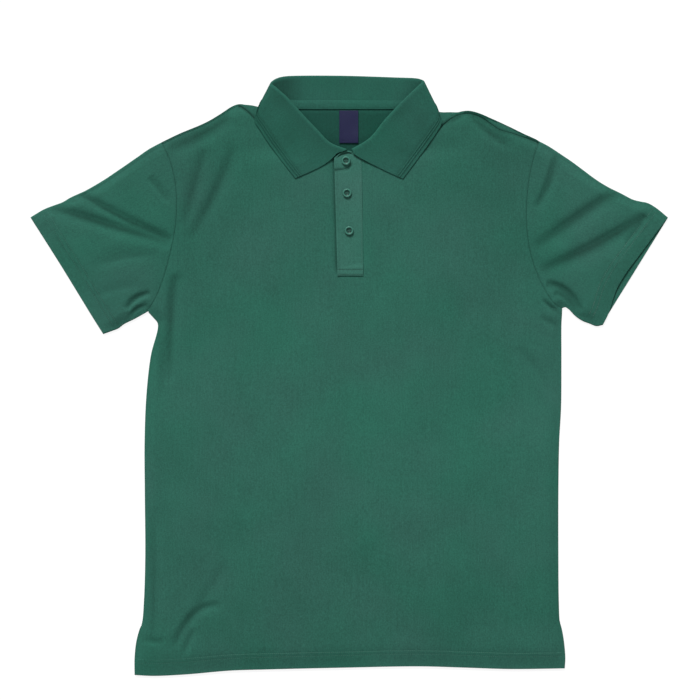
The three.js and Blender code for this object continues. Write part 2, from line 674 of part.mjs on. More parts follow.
// Sections between the table's rows, read off smooth curves through the columns.
function collarAt(t) {
  const place = t * (COLLAR_SECTIONS.length - 1);
  const i = clamp(Math.floor(place), 0, COLLAR_SECTIONS.length - 2);
  const f = place - i;
  const row = (k) => COLLAR_SECTIONS[clamp(k, 0, COLLAR_SECTIONS.length - 1)];
  const read = (name) => {
    const [a, b, c, d] = [i - 1, i, i + 1, i + 2].map((k) => row(k)[name]);
    return b + 0.5 * f * (c - a + f * (2 * a - 5 * b + 4 * c - d + f * (3 * (b - c) + d - a)));
  };
  return Object.fromEntries(Object.keys(COLLAR_SECTIONS[0]).map((name) => [name, read(name)]));
}
const collarRows = steps(2 * (COLLAR_SECTIONS.length - 1)).map((t) => collarSection(collarAt(t)));
piece("collar", wall(collarRows, COLLAR), "cloth");

// Placket strips. The top one laps over the front's left edge and is sewn down along its right edge.
function placketEdge(y, share) {
  const down = (PLACKET_TOP[0].y - y) / (PLACKET_TOP[0].y - PLACKET.bottomY);
  const left = mix(PLACKET.topLeft, PLACKET.bottomLeft, down);
  return mix(left, mix(PLACKET.topRight, PLACKET.bottomRight, down), share);
}
const placketTopCurve = columns(PLACKET_TOP, "x", "y");
const BOTTOM_LAP = { fromY: 146, ramp: 10 }; // where the top strip rises to lie on the front below the slot
function placketZ(x, y, share) {
  const raised = Math.max(1 - share, smooth((BOTTOM_LAP.fromY - y) / BOTTOM_LAP.ramp));
  return frontZ(x, y) + (CLOTH + GAP) * raised;
}
const PLACKET_ROWS = 16;
const PLACKET_COLUMNS = 5;
function placketStrip({ bottomY, topDrop, leftInset, rightInset, drop }) {
  const grid = steps(PLACKET_ROWS).map((t) =>
    steps(PLACKET_COLUMNS).map((share) => {
      const topY = placketTopCurve(share).y - topDrop;
      const y = mix(bottomY, topY, t);
      const left = placketEdge(y, 0) + leftInset;
      const right = placketEdge(y, 1) - rightInset;
      const x = mix(left, right, share);
      return new THREE.Vector3(x, y, placketZ(x, y, share) - drop);
    }),
  );
  return wall(grid, CLOTH);
}
const topStrip = { bottomY: PLACKET.bottomY, topDrop: 0, leftInset: 0, rightInset: GAP, drop: 0 };
const underStrip = {
  bottomY: SLOT_BOTTOM_Y + 1,
  topDrop: 0.5,
  leftInset: SLOT_LAP + GAP,
  rightInset: 1.2,
  drop: CLOTH + GAP,
};
piece("placket_top", placketStrip(topStrip), "cloth");
piece("placket_under", placketStrip(underStrip), "cloth");

// Buttons with a rim, a dished middle and four thread holes.
const BUTTON_PROFILE = table(
  ["radius", "z"],
  [[0, 0], [4.2, 0], [5.3, 0.5], [BUTTON_RADIUS, 1.2], [5.5, 2.1], [4.9, 2.6], [4.2, 2.3], [3.6, 1.7], [0, 1.6]],
);
function button({ x, y }) {
  const profile = BUTTON_PROFILE.map((row) => new THREE.Vector2(row.radius, row.z));
  let made = solid(new THREE.LatheGeometry(profile, 16).rotateX(Math.PI / 2));
  for (let k = 0; k < BUTTON_HOLES.count; k++) {
    const angle = (Math.PI / 2) * k + Math.PI / 4;
    const hole = new THREE.CylinderGeometry(BUTTON_HOLES.radius, BUTTON_HOLES.radius, 10, 6).rotateX(Math.PI / 2);
    hole.translate(BUTTON_HOLES.offset * Math.cos(angle), BUTTON_HOLES.offset * Math.sin(angle), 1);
    made = made.subtract(solid(hole));
  }
  const width = placketEdge(y, 1) - placketEdge(y, 0);
  const spots = [-BUTTON_RADIUS, 0, BUTTON_RADIUS].map((dx) =>
    placketZ(x + dx, y, (x + dx - placketEdge(y, 0)) / width),
  );
  return geometryOf(made).translate(x, y, Math.max(...spots) + CLOTH / 2 + GAP);
}
BUTTONS.forEach((place, n) => piece("button_" + (n + 1), button(place), "button"));

// The tape on the collar's stand along the back neck seam, and the bare label below it.
const tapeGrid = steps(3).map((up) =>
  steps(18).map((along) => {
    const section = collarSection(collarAt(mix(TAPE.from, TAPE.to, along)));
    const point = section[0].clone().lerp(section[STAND_STEPS], up * TAPE.share);
    point.z += (COLLAR + CLOTH) / 2 + GAP + SLACK;
    return point;
  }),
);
piece("neck_tape", wall(tapeGrid, CLOTH), "cloth");

const labelGrid = steps(5).map((t) =>
  steps(2).map((s) => {
    const x = LABEL.x + LABEL.width * (s - 0.5);
    const y = mix(LABEL.bottomY, LABEL.topY, t);
    return new THREE.Vector3(x, y, backZ(x, y) + CLOTH + GAP + SLACK);
  }),
);
piece("label", wall(labelGrid, CLOTH), "label");

export default shirt;
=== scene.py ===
import math

import bpy
import numpy as np
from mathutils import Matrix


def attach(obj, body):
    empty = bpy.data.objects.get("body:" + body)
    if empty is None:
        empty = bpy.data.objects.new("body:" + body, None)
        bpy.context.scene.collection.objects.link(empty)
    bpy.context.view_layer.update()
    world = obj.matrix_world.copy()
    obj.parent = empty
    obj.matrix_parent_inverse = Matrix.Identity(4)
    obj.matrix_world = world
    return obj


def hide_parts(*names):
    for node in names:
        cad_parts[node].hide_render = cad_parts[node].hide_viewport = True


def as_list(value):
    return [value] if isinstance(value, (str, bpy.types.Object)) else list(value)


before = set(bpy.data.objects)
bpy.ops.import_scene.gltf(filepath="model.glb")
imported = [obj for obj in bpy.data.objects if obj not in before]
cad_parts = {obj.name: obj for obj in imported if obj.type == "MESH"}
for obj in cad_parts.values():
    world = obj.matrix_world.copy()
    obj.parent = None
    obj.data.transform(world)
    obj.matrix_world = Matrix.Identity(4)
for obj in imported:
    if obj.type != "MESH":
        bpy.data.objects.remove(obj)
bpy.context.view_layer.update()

# A men's short-sleeved polo shirt laid flat, dressed in fine meshes of the same form as its solids.
# Tables and shapes are in millimetres in the row's frame and are turned into metres when a mesh is made.
# Left and right are as seen from above.
MM = 0.001
CLOTH = 1.0
COLLAR = 1.3
HEM = 1.4
CUFF = 1.3
GAP = 0.3
SEAM = 0.05  # half the gap left open at a sewn seam
EDGE_LIFT = 2.0
EDGE_RADIUS = EDGE_LIFT / 2
LOFT = 3.3
NECK_LIFT = COLLAR + GAP + 0.2
EDGE_BAND = 15
OPEN_EDGE_LOFT = 0.08
LEAST_RISE = 0.8
BEHIND_NECK = {"from_y": 283, "ramp": 26, "half_width": 152}
UNDER_COLLAR = {"from_y": 270, "ramp": 30, "half_width": 150, "share": 0.78}


def table(columns, rows):
    """Rows of numbers as one array for each named column."""
    return {name: np.array([row[i] for row in rows], float) for i, name in enumerate(columns)}


def smooth(t):
    t = np.clip(t, 0, 1)
    return t * t * (3 - 2 * t)


def mix(a, b, t):
    return a + (b - a) * t


class Curve:
    """A smooth curve through points, read by the share of its length or by the share of its rows."""

    STEPS = 24

    def __init__(self, x, y):
        p = np.column_stack([x, y]).astype(float)
        ends = np.vstack([2 * p[0] - p[1], p, 2 * p[-1] - p[-2]])
        t = np.linspace(0, 1, self.STEPS, endpoint=False)[:, None]
        parts = []
        for a, b, c, d in zip(ends[:-3], ends[1:-2], ends[2:-1], ends[3:]):
            k0, k1, k2 = (math.sqrt(np.linalg.norm(q - r)) for q, r in ((a, b), (b, c), (c, d)))
            m1 = ((b - a) / k0 - (c - a) / (k0 + k1) + (c - b) / k1) * k1
            m2 = ((c - b) / k1 - (d - b) / (k1 + k2) + (d - c) / k2) * k1
            parts.append(b + m1 * t + (3 * (c - b) - 2 * m1 - m2) * t**2 + (2 * (b - c) + m1 + m2) * t**3)
        self.points = np.vstack(parts + [p[-1:]])
        steps = np.linalg.norm(np.diff(self.points, axis=0), axis=1)
        self.length = float(steps.sum())
        self.by_length = np.concatenate([[0], np.cumsum(steps)]) / self.length
        self.by_rows = np.linspace(0, 1, len(self.points))

    def read(self, t, keys):
        t = np.asarray(t, float)
        return np.stack([np.interp(t, keys, self.points[:, k]) for k in (0, 1)], -1)

    def at(self, t):
        return self.read(t, self.by_length)

    def row(self, t):
        return self.read(t, self.by_rows)


def right_of(read, t):
    """The level direction to the right of a curve's run."""
    t = np.asarray(t, float)
    way = read(np.minimum(1, t + 0.01)) - read(np.maximum(0, t - 0.01))
    way /= np.linalg.norm(way, axis=-1, keepdims=True)
    return np.stack([way[..., 1], -way[..., 0]], -1)


# The outline: the body's sides, armholes, hem, shoulders and necklines, then the sleeves.
SIDES = table(
    ["left_x", "left_y", "right_x", "right_y"],
    [
        [-275, -383.5, 276, -375],
        [-275, -362, 276.8, -362],
        [-273, -342, 275, -340],
        [-269, -326, 272.2, -324],
        [-265.6, -317, 269.8, -315],
        [-263, -287, 268.5, -287],
        [-261.4, -230, 268, -230],
        [-262, -150, 268, -150],
        [-262.3, -85, 269, -85],
        [-260, -25, 271.4, -40],
        [-254.5, 25, 271.8, 20],
        [-245.5, 66, 271.8, 66],
        [-251.5, 74, 272.4, 77],
        [-259, 82, 272.8, 86.5],
    ],
)
ARMHOLES = table(
    ["left_x", "left_y", "right_x", "right_y"],
    [
        [-259, 82, 272.8, 86.5],
        [-251.5, 93, 263.5, 91],
        [-244, 108, 252.5, 106],
        [-234, 137, 241.5, 128],
        [-226.5, 168, 232.5, 154],
        [-221.7, 197, 227.5, 184],
        [-220.8, 226, 226.8, 214],
        [-223.4, 252, 229.5, 247],
        [-230, 277, 235.5, 277],
        [-240.5, 299, 243.5, 300.3],
    ],
)
HEM_EDGE = table(
    ["x", "y"],
    [
        [-275, -383.5],
        [-250, -384.6],
        [-209, -382.7],
        [-152, -377.8],
        [-100, -376.2],
        [-5, -374],
        [90, -372.4],
        [148, -374],
        [206, -375.8],
        [276, -375],
    ],
)
LEFT_SHOULDER = table(
    ["fold_x", "fold_y", "seam_x", "seam_y"],
    [
        [-240.5, 299, -239.2, 296.3],
        [-216.5, 310.5, -215.3, 307.8],
        [-191, 321, -190, 318.2],
        [-178, 327.4, -176.6, 324.8],
        [-163, 336.6, -161.4, 334.2],
        [-150, 345, -149.2, 342],
        [-141, 347.8, -141.5, 344.8],
        [-133.5, 347, -134.5, 341.5],
        [-124.5, 346, -128, 336],
        [-115.5, 344, -120, 328.5],
        [-106, 341.5, -97, 330.5],
    ],
)
RIGHT_SHOULDER = table(
    ["fold_x", "fold_y", "seam_x", "seam_y"],
    [
        [243.5, 300.3, 242.4, 297.4],
        [237.8, 303.5, 236.2, 300.4],
        [225, 309.2, 224, 304.8],
        [212, 315.6, 208, 310.4],
        [193, 324.6, 193, 314.6],
        [180, 330.4, 182.5, 321.4],
        [167.4, 335.9, 167, 331.6],
        [154.6, 339.3, 154.5, 335.2],
        [145.6, 338.9, 145.6, 335],
        [139.2, 337.4, 139, 333.5],
        [129, 337.4, 128, 327.5],
        [117.4, 337.4, 117, 319.5],
        [105, 340.5, 91, 325],
    ],
)
FRONT_NECK = table(
    ["x", "y"],
    [
        [-97, 330.5],
        [-82, 317],
        [-62, 301],
        [-40, 286],
        [-19.5, 278],
        [17, 278],
        [38, 285],
        [58, 299],
        [76, 314],
        [91, 325],
    ],
)
BACK_NECK_Y = 340.3
LEFT_UPPER = [(-240.5, 299), (-256.7, 290.3), (-271, 280.4), (-294.3, 264.3), (-314.2, 250.9), (-337.5, 237.3),
              (-357.2, 228.2), (-367.2, 222.3), (-378.8, 218), (-391.4, 213), (-408.5, 202.8)]
LEFT_LOWER = [(-259, 82), (-274.6, 73.1), (-289, 65.8), (-296.1, 60.4), (-305.2, 56.8), (-315.1, 53.2)]
LEFT_CUFF = [(-408.5, 202.8), (-370.2, 142.5), (-326.7, 71.5), (-315.1, 53.2)]
RIGHT_UPPER = [(243.5, 300.3), (255.7, 293.9), (271, 283.9), (286.4, 273.4), (301.8, 261.9), (317.1, 250.6),
               (332.5, 241.2), (347.8, 233.7), (363.2, 225.7), (372.2, 223.3), (382.4, 221.2), (393.9, 214.5),
               (408.5, 202.4)]
RIGHT_LOWER = [(272.8, 86.5), (277.4, 87.9), (282.8, 84.7), (290, 76.7), (298.9, 70.4), (307.9, 66.8),
               (316.9, 63.5), (324.9, 65)]
RIGHT_FRONT_CUFF = [(408.5, 202.4), (402, 194.3), (386.9, 174.5), (370.8, 153), (354.6, 131.5), (342.1, 109.8),
                    (332.1, 79.4), (324.9, 65)]
RIGHT_BACK_CUFF = [(408.5, 202.4), (367, 135.5), (328.5, 72.5), (324.9, 65)]

HANDS = ("left", "right")
SIDE = {hand: Curve(SIDES[hand + "_x"], SIDES[hand + "_y"]) for hand in HANDS}
ARMHOLE = {hand: Curve(ARMHOLES[hand + "_x"], ARMHOLES[hand + "_y"]) for hand in HANDS}
SHOULDERS = {"left": LEFT_SHOULDER, "right": RIGHT_SHOULDER}
FOLD = {hand: Curve(rows["fold_x"], rows["fold_y"]) for hand, rows in SHOULDERS.items()}
SHOULDER_SEAM = {hand: Curve(rows["seam_x"], rows["seam_y"]) for hand, rows in SHOULDERS.items()}
HEM_CURVE = Curve(HEM_EDGE["x"], HEM_EDGE["y"])
NECK_CURVE = Curve(FRONT_NECK["x"], FRONT_NECK["y"])
SLEEVE_EDGES = {
    "left": {"upper": LEFT_UPPER, "lower": LEFT_LOWER, "front_cuff": LEFT_CUFF, "back_cuff": LEFT_CUFF},
    "right": {"upper": RIGHT_UPPER, "lower": RIGHT_LOWER, "front_cuff": RIGHT_FRONT_CUFF,
              "back_cuff": RIGHT_BACK_CUFF},
}
SLEEVE = {
    hand: {edge: Curve(*np.array(points).T) for edge, points in edges.items()}
    for hand, edges in SLEEVE_EDGES.items()
}

# Folds in the top layer: a path through three points, its height (below 0 is a trough) and its half width
# to the left and to the right of the path.
FOLDS = table(
    ["x0", "y0", "x1", "y1", "x2", "y2", "height", "left", "right"],
    [
        # Wearer's right sleeve.
        [-347, 235, -292, 203, -226, 174, -6.2, 6, 5],
        [-384, 216, -312, 194, -228, 169, -6, 6.5, 9],
        [-330, 140, -285, 152, -240, 154, -1.8, 10, 7],
        [-330, 100, -296, 112, -262, 114, -1.2, 9, 6],
        [-284, 84, -273, 98, -254, 105, -4.5, 4.5, 3],
        [-280, 75, -272, 84, -259, 90, -5, 3.5, 2.5],
        [-256, 254, -245, 240, -231, 222, -2.6, 6, 4],
        # Wearer's right shoulder and side.
        [-233, 290, -190, 309, -152, 333, -5, 5, 12],
        [-186, 292, -197, 250, -213, 190, -3.4, 9, 5],
        [-148, 296, -170, 238, -206, 172, -3.2, 11, 5.5],
        [-222, 130, -229, 80, -231, -8, -5.5, 9, 4],
        [-243, 60, -240, 20, -241, -30, -2, 7, 4],
        [-252, -170, -251, -260, -252, -335, -3, 9, 4],
        # Wearer's left sleeve.
        [264, 284, 256, 250, 239, 214, -4.4, 7, 4],
        [350, 240, 296, 205, 238, 163, -4.6, 13, 7],
        [390, 212, 320, 170, 244, 134, -7, 15, 6.5],
        [378, 205, 368, 190, 352, 167, -3, 4, 3],
        [252, 118, 278, 108, 297, 82, -4.5, 4, 7],
        [262, 106, 280, 98, 290, 84, -3.4, 3, 5],
        # Wearer's left shoulder and underarm.
        [156, 334, 173, 316, 206, 290, -5, 12, 5],
        [248, 97, 259, 86, 272, 78, -3.6, 3.4, 2.4],
        [247, 76, 257, 67, 271, 62, -2.6, 3.4, 2.4],
        [214, 36, 240, 8, 262, -30, -1.6, 8, 5],
        # Bottom hem, wearer's right.
        [-156, -236, -185, -281, -222, -344, -1.3, 9, 5],
        [-164, -294, -199, -304, -226, -349, -3.8, 5.5, 2.8],
        [-201, -325, -206, -339, -213, -357, -2.8, 4, 2.6],
        [-265, -338, -252, -340, -238, -342, -2.2, 4, 2.6],
    ],
)
# Sharp lines pressed into the cloth: a path, its depth and its half width.
SHARP_LINES = [
    ([(-248, 290.5), (-262, 282), (-290, 262.5), (-320, 242.5), (-345, 229.5)], 0.45, 1.2),
    ([(246, 294.5), (262, 285), (290, 266), (322, 243)], 0.2, 1.2),
    ([(-141, 345), (-134.5, 341.5), (-128, 336), (-120, 328.5)], 1.3, 1.5),
    ([(117, 318), (128, 325.5), (142, 331.5)], 1.1, 1.8),
]

# Long soft waves that keep the laid cloth from being quite level: waves a metre along x and y, turn and height.
WAVES = table(
    ["across", "along", "turn", "height"],
    [
        [5.3, 2.1, 0.4, 0.4],
        [-3.7, 6.4, 1.9, 0.4],
        [15.9, -5.2, 3.3, 0.3],
        [-8.4, 14.7, 5.1, 0.32],
        [-21.6, 12.1, 2.6, 0.14],
        [26.2, 21.8, 0.9, 0.1],
        [9.0, 31.0, 4.2, 0.08],
    ],
)


def nearest(path, x, y):
    """Distance to a path, how far along it the nearest place is, and the side on which each point lies."""
    best = np.full(x.shape, np.inf)
    along = np.zeros(x.shape)
    side = np.ones(x.shape)
    path = np.asarray(path, float)
    for i, (a, b) in enumerate(zip(path[:-1], path[1:])):
        dx, dy = b - a
        t = np.clip(((x - a[0]) * dx + (y - a[1]) * dy) / (dx * dx + dy * dy), 0, 1)
        distance = np.hypot(x - a[0] - t * dx, y - a[1] - t * dy)
        closer = distance < best
        best = np.where(closer, distance, best)
        along = np.where(closer, (i + t) / (len(path) - 1), along)
        side = np.where(closer, dx * (y - a[1]) - dy * (x - a[0]), side)
    return best, along, side


def far_from(paths, x, y):
    return np.min([nearest(path, x, y)[0] for path in paths], axis=0)


def sampled(read, count):
    return read(np.linspace(0, 1, count + 1))


PRESSED_EDGES = []
for hand in HANDS:
    PRESSED_EDGES += [
        sampled(SIDE[hand].at, 24),
        sampled(FOLD[hand].row, 20),
        sampled(SLEEVE[hand]["upper"].at, 16),
        sampled(SLEEVE[hand]["lower"].at, 8),
    ]
OPEN_EDGES = [sampled(HEM_CURVE.at, 12)] + [sampled(SLEEVE[hand]["back_cuff"].at, 6) for hand in HANDS]
for hand in HANDS:
    SHARP_LINES.append((sampled(ARMHOLE[hand].at, 30), 0.35, 1.1))
SHARP_LINES.append((sampled(SHOULDER_SEAM["right"].row, 30), 0.8, 1.3))
FOLD_PATHS = []
for i in range(len(FOLDS["x0"])):
    row = {name: column[i] for name, column in FOLDS.items()}
    t = np.linspace(0, 1, 13)[:, None]
    start, middle, end = (np.array([row["x" + k], row["y" + k]]) for k in "012")
    bend = 2 * middle - (start + end) / 2
    FOLD_PATHS.append((row, start * (1 - t) ** 2 + 2 * bend * t * (1 - t) + end * t**2))


DEEPEST = -4.6  # past this a trough gets no deeper; only its painted shade gets darker


def folds(x, y):
    height = np.zeros(x.shape)
    for row, path in FOLD_PATHS:
        distance, along, side = nearest(path, x, y)
        width = np.where(side > 0, row["left"], row["right"])
        taper = np.sqrt(np.clip(np.sin(np.pi * along), 0, 1))
        height += max(row["height"], DEEPEST) * taper * np.exp(-((distance / width) ** 2))
    return height


def painted_crease_shade(x, y):
    """Painted shade for a point of the top layer, from 0 to 1: how much its colour is darkened in the creases and along
    the sharp lines, where shade falls.
    """
    shade = np.zeros(x.shape)
    for row, path in FOLD_PATHS:
        if row["height"] < 0:
            distance, along, side = nearest(path, x, y)
            width = 0.9 * np.minimum(np.where(side > 0, row["left"], row["right"]), 7)
            taper = np.sqrt(np.clip(np.sin(np.pi * along), 0, 1))
            core = 0.5 * np.exp(-((distance / (0.42 * width)) ** 2))
            shade -= row["height"] / 7 * taper * (0.6 * np.exp(-((distance / width) ** 2)) + core)
    for path, depth, width in SHARP_LINES:
        shade += 0.9 * depth * np.exp(-((nearest(path, x, y)[0] / width) ** 2))
    return np.clip(shade, 0, 1)


def waves(x, y):
    rows = zip(*WAVES.values())
    return sum(h * np.sin(MM * (a * x + b * y) * math.tau / 2 + turn) for a, b, turn, h in rows)


def back_z(x, y):
    k = BEHIND_NECK
    over = smooth((y - k["from_y"]) / k["ramp"]) * smooth((k["half_width"] - np.abs(x)) / k["ramp"])
    return CLOTH / 2 + NECK_LIFT * over


def front_z(x, y):
    """Height of the middle of the top layer's cloth, over the front and the sleeves."""
    x, y = np.asarray(x, float), np.asarray(y, float)
    pressed = smooth(far_from(PRESSED_EDGES, x, y) / EDGE_BAND)
    open_edge = mix(OPEN_EDGE_LOFT, 1, smooth(far_from(OPEN_EDGES, x, y) / (2 * EDGE_BAND)))
    rise = LOFT + folds(x, y) + waves(x, y)
    kept = (rise + np.hypot(rise, LEAST_RISE)) / 2
    k = UNDER_COLLAR
    under = smooth((y - k["from_y"]) / k["ramp"]) * smooth((k["half_width"] - np.abs(x)) / k["ramp"])
    dip = sum(depth * np.exp(-((nearest(path, x, y)[0] / width) ** 2)) for path, depth, width in SHARP_LINES)
    return back_z(x, y) + EDGE_LIFT + pressed * open_edge * (1 - k["share"] * under) * kept - dip


# Meshes.
def new_object(name, vertices, faces, material, uv=None, sharp=50, crease=None):
    mesh = bpy.data.meshes.new(name)
    mesh.from_pydata((np.asarray(vertices) * MM).tolist(), [], faces)
    mesh.polygons.foreach_set("use_smooth", np.ones(len(mesh.polygons), bool))
    if uv is not None:
        loops = np.empty(len(mesh.loops), np.int32)
        mesh.loops.foreach_get("vertex_index", loops)
        layer = mesh.uv_layers.new(name="cut")
        layer.data.foreach_set("uv", (np.asarray(uv)[loops] * MM).ravel())
    # The crease attribute holds painted shade, which the cloth's material uses to darken its colour.
    if crease is not None:
        mesh.attributes.new("crease", "FLOAT", "POINT").data.foreach_set("value", np.asarray(crease, float))
    mesh.materials.append(material)
    mesh.validate()
    mesh.set_sharp_from_angle(angle=math.radians(sharp))
    made = bpy.data.objects.new(name, mesh)
    bpy.context.collection.objects.link(made)
    return made


RIM_ANGLES = (-45, 0, 45)
RIM_ROUND = 0.5


def wall(name, grid, thickness, material, uv, ring=False, crease=None):
    """A closed wall with rounded rims round a grid of points, NaN where there is none, all of it above the table."""
    grid = np.asarray(grid, float)
    there = ~np.isnan(grid[:, :, 0])
    index = np.full(there.shape, -1)
    index[there] = np.arange(there.sum())
    beside = np.roll(index, -1, 1)
    quads = np.stack([index[:-1], beside[:-1], beside[1:], index[1:]], -1)
    if not ring:
        quads = quads[:, :-1]
    quads = quads.reshape(-1, 4)
    quads = quads[(quads >= 0).all(1)]
    middle = grid[there]
    count = len(middle)
    a, b, c, d = (middle[quads[:, k]] for k in range(4))
    face_normal = np.cross(c - a, d - b)
    normal = np.zeros_like(middle)
    for k in range(4):
        np.add.at(normal, quads[:, k], face_normal)
    normal /= np.maximum(np.linalg.norm(normal, axis=1, keepdims=True), 1e-9)
    half = (np.broadcast_to(thickness, there.shape)[there] / 2)[:, None]

    start = quads.ravel()
    end = np.roll(quads, -1, 1).ravel()
    rim = ~np.isin(end * count + start, start * count + end)
    start, end = start[rim], end[rim]
    out = np.zeros_like(middle)
    for p in (start, end):
        np.add.at(out, p, np.cross(middle[end] - middle[start], normal[p]))
    lengths = np.linalg.norm(out, axis=1, keepdims=True)
    out = np.where(lengths > 0, out / np.maximum(lengths, 1e-9), 0)
    on_rim = np.unique(np.concatenate([start, end]))
    slot = np.full(count, -1)
    slot[on_rim] = np.arange(len(on_rim))

    layers = [middle + half * (normal - RIM_ROUND * out), middle - half * (normal + RIM_ROUND * out)]
    for angle in RIM_ANGLES:
        turn = math.radians(angle)
        round_ = normal * math.sin(turn) + RIM_ROUND * out * (math.cos(turn) - 1)
        layers.append((middle + half * round_)[on_rim])
    points = np.vstack(layers)
    points[:, 2] = np.maximum(points[:, 2], 0)
    faces = quads.tolist() + (quads[:, ::-1] + count).tolist()
    chain = [lambda p: p + count]
    for k in range(len(RIM_ANGLES)):
        chain.append(lambda p, k=k: slot[p] + 2 * count + k * len(on_rim))
    chain.append(lambda p: p)
    for low, high in zip(chain[:-1], chain[1:]):
        faces += np.stack([low(start), low(end), high(end), high(start)], -1).tolist()
    cut = np.asarray(uv, float)[there]
    cuts = np.vstack([cut, cut] + [cut[on_rim]] * len(RIM_ANGLES))
    shade = None
    if crease is not None:
        shade = np.broadcast_to(crease, there.shape)[there]
        shade = np.concatenate([shade, shade] + [shade[on_rim]] * len(RIM_ANGLES))
    return new_object(name, points, faces, material, cuts, crease=shade)


# Materials.
def colour(r, g, b):
    """A colour given as it looks on screen, 0 to 255, as the linear values that a shader takes."""
    linear = [c / 255 / 12.92 if c <= 10 else ((c / 255 + 0.055) / 1.055) ** 2.4 for c in (r, g, b)]
    return (*linear, 1)


class Nodes:
    """Short ways to add and join a material's nodes."""

    def __init__(self, name):
        self.material = bpy.data.materials.new(name)
        self.material.use_nodes = True
        self.tree = self.material.node_tree
        self.shader = self.tree.nodes["Principled BSDF"]

    def add(self, kind, **settings):
        node = self.tree.nodes.new("ShaderNode" + kind)
        for key, value in settings.items():
            setattr(node, key, value)
        return node

    def put(self, value, socket):
        if isinstance(value, bpy.types.NodeSocket):
            self.tree.links.new(value, socket)
        else:
            socket.default_value = value

    def math(self, operation, *values):
        node = self.add("Math", operation=operation)
        for value, socket in zip(values, node.inputs):
            self.put(value, socket)
        return node.outputs[0]

    def noise(self, vector, scale, detail=2.0, roughness=0.5):
        node = self.add("TexNoise")
        self.put(vector, node.inputs["Vector"])
        self.put(scale, node.inputs["Scale"])
        self.put(detail, node.inputs["Detail"])
        self.put(roughness, node.inputs["Roughness"])
        return node.outputs["Fac"]

    def scaled(self, vector, factors):
        node = self.add("VectorMath", operation="MULTIPLY")
        self.put(vector, node.inputs[0])
        self.put(factors, node.inputs[1])
        return node.outputs[0]

    def blend(self, factor, a, b, mode="MIX"):
        node = self.add("Mix", data_type="RGBA", blend_type=mode)
        self.put(factor, node.inputs[0])
        self.put(a, node.inputs[6])
        self.put(b, node.inputs[7])
        return node.outputs[2]

    def spread(self, value, low, high, to_low, to_high):
        node = self.add("MapRange")
        for socket, number in zip(node.inputs, (value, low, high, to_low, to_high)):
            self.put(number, socket)
        return node.outputs[0]

    def bump(self, height, strength, distance, normal=None):
        node = self.add("Bump")
        self.put(height, node.inputs["Height"])
        self.put(strength, node.inputs["Strength"])
        self.put(distance, node.inputs["Distance"])
        if normal is not None:
            self.put(normal, node.inputs["Normal"])
        return node.outputs["Normal"]


